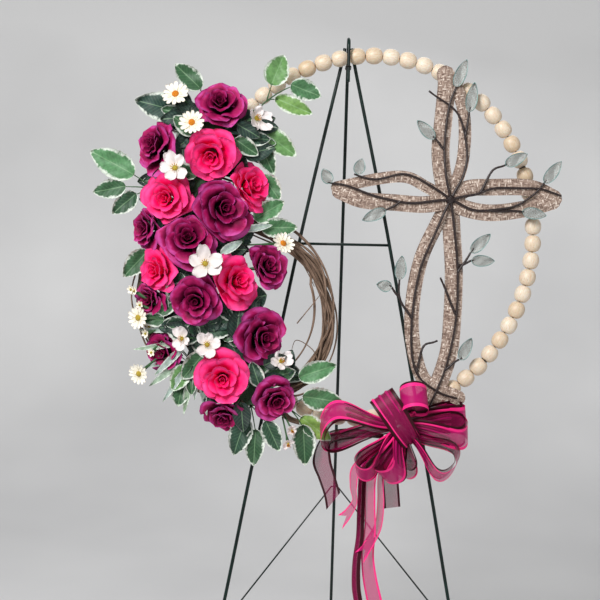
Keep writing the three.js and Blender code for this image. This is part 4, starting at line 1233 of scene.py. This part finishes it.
# The blossoms: five broad waved white petals round a yellow-green eye with thin stamens.
BLOSSOMS = {
    "blossoms_top": [((-272, 88, 98), 24, 130, 15, (-238, 70, 56))],
    "blossom_inner": [((-160, 163, 72), 22, 20, 45, (-206, 150, 56))],
    "blossoms_middle": [((-226, -46, 112), 24, 100, 12, (-226, -46, 60))],
    "blossoms_low": [
        ((-222, -160, 92), 20, 90, 12, (-216, -150, 56)),
        ((-258, -152, 86), 17, 180, 20, (-216, -150, 56)),
        ((-118, -182, 74), 17, 40, 30, (-160, -178, 56)),
        ((-100, -280, 67), 8, 300, 20, (-112, -258, 57)),
        ((-105, -299, 66), 9, 280, 30, (-114, -262, 57)),
    ],
}
for number, (blossom_name, blossoms) in enumerate(BLOSSOMS.items()):
    blossom_form = Form()
    for k, flower in enumerate(blossoms):
        open_flower(blossom_form, flower, 5, 0.4, 0.4, 0.8, 70 + 5 * number + k)
    blossom_form.piece(
        f"silk_{blossom_name}", flower_surfaces["white"], "stand", [blossom_name],
    )


# The leaves: printed silk leaves on dark wired stalks, with a folded rib and a waved edge.
# Most are mid green with a pale uneven margin. The narrow ones at the lower left are frosted white.
LEAVES = {
    "leaves_top": {
        "stems": [
            [(-204, 160, 57), (-204, 186, 57), (-236, 190, 57)],
            [(-204, 186, 57), (-166, 176, 57), (-146, 190, 58)],
        ],
        "leaves": [
            ((-262, 170, 58), (-335, 188), 36, 0.1, 0.22),
            ((-240, 205, 57), (-278, 240), 26, 0.0, 0.4),
            ((-140, 212, 58), (-123, 256), 30, 0.0, 0.7),
            ((-112, 214, 60), (-68, 198), 26, 0.1, 0.5),
            ((-134, 194, 62), (-80, 172), 22, 0.0, 0.8),
            ((-152, 148, 60), (-102, 112), 28, 0.1, 0.7),
            ((-160, 140, 57), (-133, 84), 24, 0.0, 0.4),
        ],
    },
    "leaves_left": {
        "stems": [[(-258, 36, 57), (-304, 62, 56)], [(-268, 42, 57), (-284, -14, 56)]],
        "leaves": [
            ((-333, 80, 57), (-398, 114), 34, 0.15, 0.6),
            ((-345, 64, 57), (-392, 54), 24, 0.0, 0.4),
            ((-330, 54, 54), (-364, 24), 24, 0.0, 0.33),
            ((-312, -28, 54), (-346, -66), 26, 0.0, 0.4),
            ((-262, 14, 52), (-314, 18), 36, 0.0, 0.1),
            ((-266, -78, 52), (-300, -72), 30, 0.0, 0.1),
        ],
    },
    "leaves_right": {
        "stems": [[(-228, 14, 57), (-184, 30, 56)]],
        "leaves": [
            ((-150, 84, 52), (-124, 48), 24, 0.0, 0.5),
            ((-160, 20, 56), (-118, 47), 26, 0.1, 0.6),
            ((-150, 8, 57), (-98, 10), 24, 0.1, 0.5),
            ((-172, -96, 56), (-140, -88), 34, 0.0, 0.1),
            ((-196, 92, 58), (-176, 112), 34, 0.0, 0.1),
        ],
    },
    "leaves_low": {
        "stems": [
            [(-196, -188, 57), (-158, -196, 57), (-118, -214, 57), (-104, -250, 57)],
            [(-158, -196, 57), (-160, -246, 57)],
            [(-196, -188, 57), (-232, -206, 57)],
        ],
        "leaves": [
            ((-92, -205, 56), (-38, -186), 26, 0.1, 0.6),
            ((-86, -232, 57), (-27, -240), 28, 0.1, 0.5),
            ((-84, -272, 58), (-80, -331), 28, 0.1, 0.36),
            ((-88, -262, 54), (-44, -294), 24, 0.0, 0.9),
            ((-138, -268, 57), (-117, -311), 24, 0.0, 0.3),
            ((-152, -280, 56), (-154, -333), 24, 0.0, 0.36),
            ((-166, -264, 57), (-183, -318), 28, 0.0, 0.27),
            ((-256, -206, 56), (-264, -250), 26, 0.0, 0.4),
            ((-234, -150, 72), (-286, -128), 34, 0.1, 0.3),
            ((-238, -134, 74), (-184, -136), 32, 0.1, 0.3),
            ((-252, -190, 66), (-272, -228), 24, 0.1, 0.7),
            ((-150, -186, 60), (-114, -194), 22, 0.0, 0.5),
            ((-258, -176, 60), (-312, -196), 8, 0.2, 1.0),
            ((-262, -188, 64), (-306, -222), 9, 0.2, 0.98),
            ((-254, -196, 66), (-286, -244), 8, 0.15, 1.0),
            ((-246, -200, 62), (-256, -262), 9, 0.15, 0.97),
            ((-238, -186, 70), (-240, -240), 8, 0.2, 1.0),
            ((-262, -140, 68), (-322, -142), 7, 0.2, 1.0),
            ((-264, -160, 70), (-330, -170), 7, 0.25, 0.98),
            ((-256, -164, 74), (-298, -206), 9, 0.25, 1.0),
            ((-232, -208, 66), (-222, -262), 7, 0.1, 1.0),
            ((-206, -30, 84), (-176, -12), 11, 0.3, 1.0),
            ((-176, 4, 70), (-134, 12), 9, 0.2, 1.0),
        ],
    },
}
leaf_silk, leaf_node, leaf_shader = new_surface(
    "printed_leaf_silk", Roughness=0.55, Sheen_Weight=0.2,
)
leaf_edge = leaf_node("Attribute", attribute_name="reach")
leaf_kind = leaf_node("Attribute", attribute_name="tone")
leaf_map = leaf_node("UVMap", uv_map="cloth_mm")
leaf_patch = leaf_node("TexNoise", Vector=leaf_map, Scale=0.16, Detail=4.0)
leaf_green = leaf_node(
    "ValToRGB", Fac=leaf_kind.outputs["Fac"],
    stops=[
        (0.0, "#12302b"), (0.22, "#1e4a40"), (0.36, "#2c6038"), (0.6, "#66a46c"), (0.92, "#a4cc5e"),
        (1.0, "#d3dfe0"),
    ],
)
leaf_dark = leaf_node("Mix", leaf_patch, linear("#4a6a48"), linear("#ffffff"), data_type="RGBA")
leaf_body = leaf_node("Mix", 1.0, leaf_green, leaf_dark, data_type="RGBA", blend_type="MULTIPLY")
margin_place = leaf_node(
    "Math", leaf_patch, 0.7, leaf_edge.outputs["Fac"], operation="MULTIPLY_ADD",
)
margin = leaf_node(
    "MapRange", Value=margin_place, From_Min=1.08, From_Max=1.24, To_Min=0.0, To_Max=0.9,
)
leaf_light = leaf_node("Math", leaf_kind.outputs["Fac"], 0.2, operation="GREATER_THAN")
margin_share = leaf_node("Math", margin, leaf_light, operation="MULTIPLY")
leaf_printed = leaf_node("Mix", margin_share, leaf_body, linear("#e6ece2"), data_type="RGBA")
leaf_split = leaf_node("SeparateXYZ", Vector=leaf_map)
from_rib = leaf_node("Math", leaf_split.outputs["X"], operation="ABSOLUTE")
vein_run = leaf_node("Math", from_rib, -0.9, leaf_split.outputs["Y"], operation="MULTIPLY_ADD")
vein_turn = leaf_node("Math", vein_run, 1.15, operation="MULTIPLY")
vein_wave = leaf_node("Math", vein_turn, operation="SINE")
vein = leaf_node("MapRange", Value=vein_wave, From_Min=0.8, From_Max=1.0, To_Min=0.0, To_Max=0.14)
rib = leaf_node("MapRange", Value=from_rib, From_Min=0.3, From_Max=0.9, To_Min=0.4, To_Max=0.0)
vein_all = leaf_node("Math", vein, rib, operation="MAXIMUM")
leaf_veined = leaf_node("Mix", vein_all, leaf_printed, linear("#93b98a"), data_type="RGBA")
leaf_bump = leaf_node("Bump", Strength=0.5, Distance=0.0006, Height=vein_all)
plug(leaf_shader, Base_Color=leaf_veined, Normal=leaf_bump)

# Filler leaves: dark leaves laid over the foam and out past its edges, so that it hardly shows.
# One that would stand in a rose is left out, and counts a little so that the loop ends.
FILLERS = 190
LEAF_THICK = 0.45
fillers = {spray_name: [] for spray_name in LEAVES}
chance = random.Random(77)
placed = 0
while placed < FILLERS:
    step = chance.randrange(1, 60)
    here = foam_run[step]
    way = (foam_run[step + 1] - foam_run[step - 1]).normalized()
    side = Vector((way.y, -way.x, 0)) * chance.choice((-1, 1))
    offset = chance.uniform(0, 60)
    base = here + side * offset + way * chance.uniform(-14, 14)
    swing = chance.uniform(-1.3, 1.3)
    out = (side * cos(swing) + way * sin(swing)).normalized()
    length = chance.uniform(32, 52) * (0.75 if offset > 44 else 1.0)
    tip = base + out * length
    depth = chance.uniform(65.5, 74) if offset < 32 else chance.uniform(50, 68)
    inside = False
    for _, middle, size, _, _ in ROSES.values():
        for share in (0.0, 0.3, 0.6, 0.9):
            spot = base.lerp(tip, share)
            near = hypot(spot.x - middle[0], spot.y - middle[1]) < 0.92 * size
            inside = inside or (near and depth > middle[2] - 0.42 * size)
    if inside:
        placed += 0.02
        continue
    placed += 1
    tone = chance.choice((0.0, 0.06, 0.12, 0.18, 0.26, 0.4))
    if base.y > 105:
        owner = "leaves_top"
    elif base.y > -70:
        owner = "leaves_left" if side.x < 0 else "leaves_right"
    else:
        owner = "leaves_low"
    fillers[owner].append(((base.x, base.y, depth), (tip.x, tip.y), length * 0.62, 0.1, tone))

for number, (spray_name, spray) in enumerate(LEAVES.items()):
    chance = random.Random(200 + number)
    spray_form = Form()
    for branch, stem in enumerate(spray["stems"]):
        line = plane_line(stem, 10 * len(stem))
        spray_form.tube(line, [1.7 - 0.2 * branch - 0.02 * k for k in range(len(line))], 8, kind=1)
    joints = [joint for stem in spray["stems"] for joint in stem]
    for base, tip, width, droop, tone in spray["leaves"]:
        joint = min(joints, key=lambda place: (Vector(place) - Vector(base)).length)
        middle = (Vector(joint) + Vector(base)) / 2 + Vector((0, 0, 1.5))
        into = Vector(base).lerp(Vector((*tip, base[2])), 0.08)
        stalk = plane_line((joint, middle, into), 16)
        spray_form.tube(stalk, [1.1 - 0.03 * k for k in range(17)], 8, kind=1)
        spray_form.blade(leaf_rows(base, tip, width * 1.16, droop, tone=tone), LEAF_THICK)
    for base, tip, width, droop, tone in fillers[spray_name]:
        filler_rows = leaf_rows(base, tip, width, droop, across=6, along=16, tone=tone, teeth=0)
        spray_form.blade(filler_rows, LEAF_THICK)
    spray_form.piece(
        f"silk_{spray_name}", [leaf_silk, stem_green], "stand", [spray_name],
    )


# The bow: two sheer organza ribbons laid together and looped, one with hot pink satin edges and one
# with dark burgundy edges. Both are pinched into pleats at the knot and wired to the hoop.
RIBBON = 38
PLEATS = 3
PLEAT_SHARE = 0.46
FOLDED_SEEN = 15.5
RIBBON_COLUMNS = 24
BOW_KNOT = Vector((55, -275, 56))
ORGANZAS = {
    "pink": ("#ff2c88", "#cc1872", "#c01470", 0.72),
    "burgundy": ("#340010", "#8c1048", "#7a0c44", 0.66),
}
organzas = {}
for organza_name, (edge_code, sheer_code, patch_code, cover) in ORGANZAS.items():
    sheer, sheer_node, sheer_shader = new_surface(
        f"{organza_name}_edged_organza", Roughness=0.42, Specular_IOR_Level=0.22,
    )
    sheer_map = sheer_node("UVMap", uv_map="cloth_mm")
    sheer_split = sheer_node("SeparateXYZ", Vector=sheer_map)
    from_middle = sheer_node("Math", sheer_split.outputs["X"], operation="ABSOLUTE")
    satin = sheer_node("MapRange", Value=from_middle, From_Min=13.2, From_Max=14.2)
    sheer_cloud = sheer_node("TexNoise", Vector=sheer_map, Scale=0.05, Detail=3.0)
    sheer_body = sheer_node(
        "Mix", sheer_cloud, linear(sheer_code), linear(patch_code), data_type="RGBA",
    )
    sheer_colour = sheer_node("Mix", satin, sheer_body, linear(edge_code), data_type="RGBA")
    threads = sheer_node("TexWave", Vector=sheer_map, Scale=0.35, Distortion=0.6, Detail=2.0)
    thread_cover = sheer_node(
        "MapRange", Value=threads.outputs["Fac"], To_Min=cover - 0.12, To_Max=cover + 0.1,
    )
    cover_all = sheer_node("Math", thread_cover, satin, operation="MAXIMUM")
    plug(sheer_shader, Alpha=cover_all)
    sheer_bump = sheer_node("Bump", Strength=0.2, Distance=0.0003, Height=threads.outputs["Fac"])
    plug(sheer_shader, Base_Color=sheer_colour, Normal=sheer_bump)
    organzas[organza_name] = sheer


def lay_ribbon(form, centres, widths, pinch, steps, shift=0.0, cut=None, layered=False):
    """Lays a ribbon along centres, in plane mm, turned to the widths; gives its length in mm.

    Where pinch is under 1 the ribbon is gathered into pleats, so its cloth keeps its full width.
    A layered ribbon is folded lengthwise in three instead, with one dark edge at each side.
    """
    line = smooth_line(centres, steps)
    turns = smooth_line(widths, steps)
    shares = smooth_line([Vector((share, 0, 0)) for share in pinch], steps)
    runs = run_lengths(line)
    rows = []
    for k in range(steps + 1):
        row = []
        for s in range(RIBBON_COLUMNS + 1):
            x = RIBBON * (s / RIBBON_COLUMNS - 0.5)
            trim = cut(x) if cut else 0.0
            run = runs[k] * (1 - trim / runs[-1])
            m = max(j for j in range(steps) if runs[j] <= run + 1e-9)
            part = (run - runs[m]) / (runs[m + 1] - runs[m])
            along = (line[m + 1] - line[m]).normalized()
            across = turns[m].lerp(turns[m + 1], part)
            across = (across - along * across.dot(along)).normalized()
            outward = along.cross(across)
            share = min(1.0, max(0.2, shares[m].lerp(shares[m + 1], part).x))
            steep = sqrt((1 / share ** 2 - 1) / PLEAT_SHARE)
            pleat = steep * RIBBON * share / PLEATS / (2 * pi)
            place = line[m].lerp(line[m + 1], part)
            if layered:
                third = min(2, 3 * s // RIBBON_COLUMNS)
                from_fold = 3 * s / RIBBON_COLUMNS - third - 0.5
                place = place + across * (from_fold if third != 1 else -from_fold) * RIBBON / 3
                place = place + outward * (s / RIBBON_COLUMNS - 0.5) * (3 + 1.5 * sin(run / 31))
            else:
                place = place + across * (x * share + shift)
                place = place + outward * pleat * sin(2 * pi * PLEATS * x / RIBBON)
            row.append(form.point(in_plane(*place), (x, run), abs(x) / RIBBON * 2))
        rows.append(row)
    form.grid(rows)
    return runs[-1]


# Each loop: its angle, lift and roll in degrees, its length and puff in mm, where it leaves the
# knot, and how much smaller the burgundy ribbon lies in the pink one.
BOW_LOOPS = [
    (176, 8, 51, 110, 34, (50, -273, 52), 0.96),
    (226, 22, 62, 78, 15, (47, -280, 62), 0.96),
    (252, 30, 48, 66, 17, (54, -284, 64), 0.96),
    (274, -8, -66, 62, 12, (61, -282, 44), 0.8),
    (328, 12, -66, 82, 25, (64, -281, 56), 0.96),
    (0, 8, -36, 90, 18, (62, -271, 54), 0.96),
    (10, -8, 20, 92, 9, (62, -266, 42), 0.96),
]
for organza_name, side_shift in (("burgundy", -2.4), ("pink", 1.6)):
    bow_form = Form()
    cut_length = 0.0
    for *turns, length, puff, start, inner in BOW_LOOPS:
        heading, lift, roll = (radians(turn) for turn in turns)
        out = polar(cos(lift), heading, sin(lift))
        flat_side = Vector((0, 0, 1)).cross(out).normalized()
        up = out.cross(flat_side)
        if sin(heading) * flat_side.y + cos(heading) * flat_side.x < 0:
            flat_side = -flat_side
        puff_way = up * copysign(cos(roll), up.z) + flat_side * sin(roll)
        width_way = out.cross(puff_way).normalized()
        grow = 1.0 if organza_name == "pink" else inner
        centres, widths, pinch = [], [], []
        for k in range(17):
            t = k / 16
            reach = length * grow * sin(pi * t) ** 0.85
            bulge = puff * grow * sin(2 * pi * t)
            bulge *= 0.25 + 0.95 * sin(pi * t)
            droop = Vector((0, -1, 0)) * 0.0009 * reach * reach
            centres.append(Vector(start) + out * reach + puff_way * bulge + droop)
            widths.append(width_way)
            pinch.append(min(1.0, 0.42 + 0.85 * sin(pi * t) ** 0.8))
        cut_length += lay_ribbon(bow_form, centres, widths, pinch, 64, shift=side_shift)
    top_way = Vector((0.06, -0.84, 0.54)).normalized()
    top_out = Vector((0.1, 0.53, 0.84)).normalized()
    top_side = top_way.cross(top_out).normalized()
    lead_in = [Vector((57, -270, 52)), Vector((62, -256, 50))]
    grow = 19.5 if organza_name == "pink" else 18.6
    centres, pinch = list(lead_in), [0.3, 0.5]
    for k in range(17):
        turn = 2 * pi * k / 16
        around = top_out * grow * (1 - cos(turn))
        centres.append(Vector((71, -243, 55)) + around + top_side * grow * sin(turn))
        pinch.append(min(1.0, 0.7 + 0.6 * sin(pi * k / 16)))
    centres += [place + Vector((0, 0, 2)) for place in reversed(lead_in)]
    pinch += [0.5, 0.3]
    cut_length += lay_ribbon(bow_form, centres, [top_way] * 21, pinch, 80, shift=side_shift)
    band_line = [
        (56, -272, 52), (69, -290, 56), (73, -294, 65), (67, -287, 76), (56, -271, 84),
        (43, -251, 88), (33, -237, 86), (26, -227, 77), (27, -229, 67), (35, -241, 59),
        (50, -264, 53),
    ]
    lean, narrow = (1.2, 0.86) if organza_name == "pink" else (0, 1.0)
    centres = [Vector((u, v, w - lean)) for u, v, w in band_line]
    band_turn = Vector((0.83, 0.56, 0.0))
    pinch = [0.5, 0.7, 0.8, 0.86, 0.95, 1.0, 1.0, 1.0, 1.0, 0.8, 0.4]
    pinch = [share * narrow for share in pinch]
    cut_length += lay_ribbon(bow_form, centres, [band_turn] * 11, pinch, 64)
    bow_piece = bow_form.piece(
        f"{organza_name}_bow", [organzas[organza_name]], "stand", ["bow"],
    )

bow_tie = Form()
wound = [polar(7, t / 4, 0.2 * t - 3) for t in range(51)]
bow_tie.tube([in_plane(*(BOW_KNOT + turn)) for turn in wound], 0.8, 8)
bow_tie.tube([in_plane(53, -276, 50), in_plane(51, -277, 28)], 1.2, 8)
bow_tie.piece("bow_tie_wire", [tie_wire], "stand", ["bow"])

# The tails: the ribbons' free ends, cut square, slanting or forked, hung from behind the knot.
# Each hangs turned on edge and waves out of the wreath's plane. The fourth number at a point is the
# width that shows from the front. The long dark tail is folded lengthwise in three.
TAILS = {
    "wide_slant_tail": (
        "burgundy", "tails_left", 22,
        [(32, -288, 44, 9), (-6, -285, 40, 14), (-40, -290, 38, 14), (-54, -303, 40, 16),
         (-56, -326, 46, 27), (-48, -350, 42, 25), (-40, -374, 40, 24), (-36, -394, 42, 24)],
    ),
    "curled_fork_tail": (
        "pink", "tails_left", -14,
        [(42, -293, 44, 9), (13, -313, 48, 9), (-7, -337, 50, 12), (-10, -361, 52, 9),
         (-8, -382, 54, 6), (-17, -400, 50, 9), (-28, -413, 46, 14)],
    ),
    "long_dark_tail": (
        "burgundy", "tails_right", 0,
        [(46, -293, 44, 10), (23, -313, 44, 12), (5, -337, 44, 13), (2, -385, 44, 13),
         (1, -433, 46, 13), (-3, -469, 48, 14), (-3, -504, 50, 15), (1, -530, 52, 15),
         (3, -556, 52, 15)],
    ),
    "long_pink_tail": (
        "pink", "tails_right", 0,
        [(51, -293, 46, 10), (32, -317, 50, 12), (16, -341, 54, 13), (14, -383, 56, 14),
         (15, -419, 58, 15), (12, -455, 58, 17), (16, -491, 58, 20), (24, -526, 58, 22),
         (29, -550, 57, 22)],
    ),
    "crossing_fork_tail": (
        "pink", "tails_right", -16,
        [(56, -292, 50, 9), (41, -320, 58, 8), (29, -344, 62, 7), (29, -382, 66, 8),
         (26, -413, 68, 8), (15, -437, 66, 10), (0, -461, 64, 14)],
    ),
    "square_tail": (
        "burgundy", "tails_right", 3,
        [(61, -293, 42, 12), (47, -317, 40, 18), (43, -342, 40, 22), (45, -368, 42, 22),
         (47, -392, 44, 22)],
    ),
}


def end_cut(amount):
    """How much shorter each thread is: a slant for a positive amount, a fork for a negative one."""
    if amount >= 0:
        return lambda x: amount * (0.5 + x / RIBBON)
    return lambda x: -amount * (1 - abs(x) / RIBBON * 2)


for tail_name, (organza_name, stands_for, amount, stations) in TAILS.items():
    centres = [Vector(station[:3]) for station in stations]
    layered = tail_name == "long_dark_tail"
    widths = []
    for k, station in enumerate(stations):
        side = heading_at(centres, k).cross(Vector((0, 0, 1))).normalized()
        seen = acos(min(0.98, station[3] / (FOLDED_SEEN if layered else RIBBON)))
        widths.append(-side * cos(seen) + Vector((0, 0, 1)) * sin(seen))
    pinch = [0.4, 0.8] + [1.0] * (len(stations) - 2)
    tail_form = Form()
    tail_length = lay_ribbon(
        tail_form, centres, widths, pinch, 72, cut=end_cut(amount), layered=layered,
    )
    tail = tail_form.piece(tail_name, [organzas[organza_name]], "stand", [stands_for])
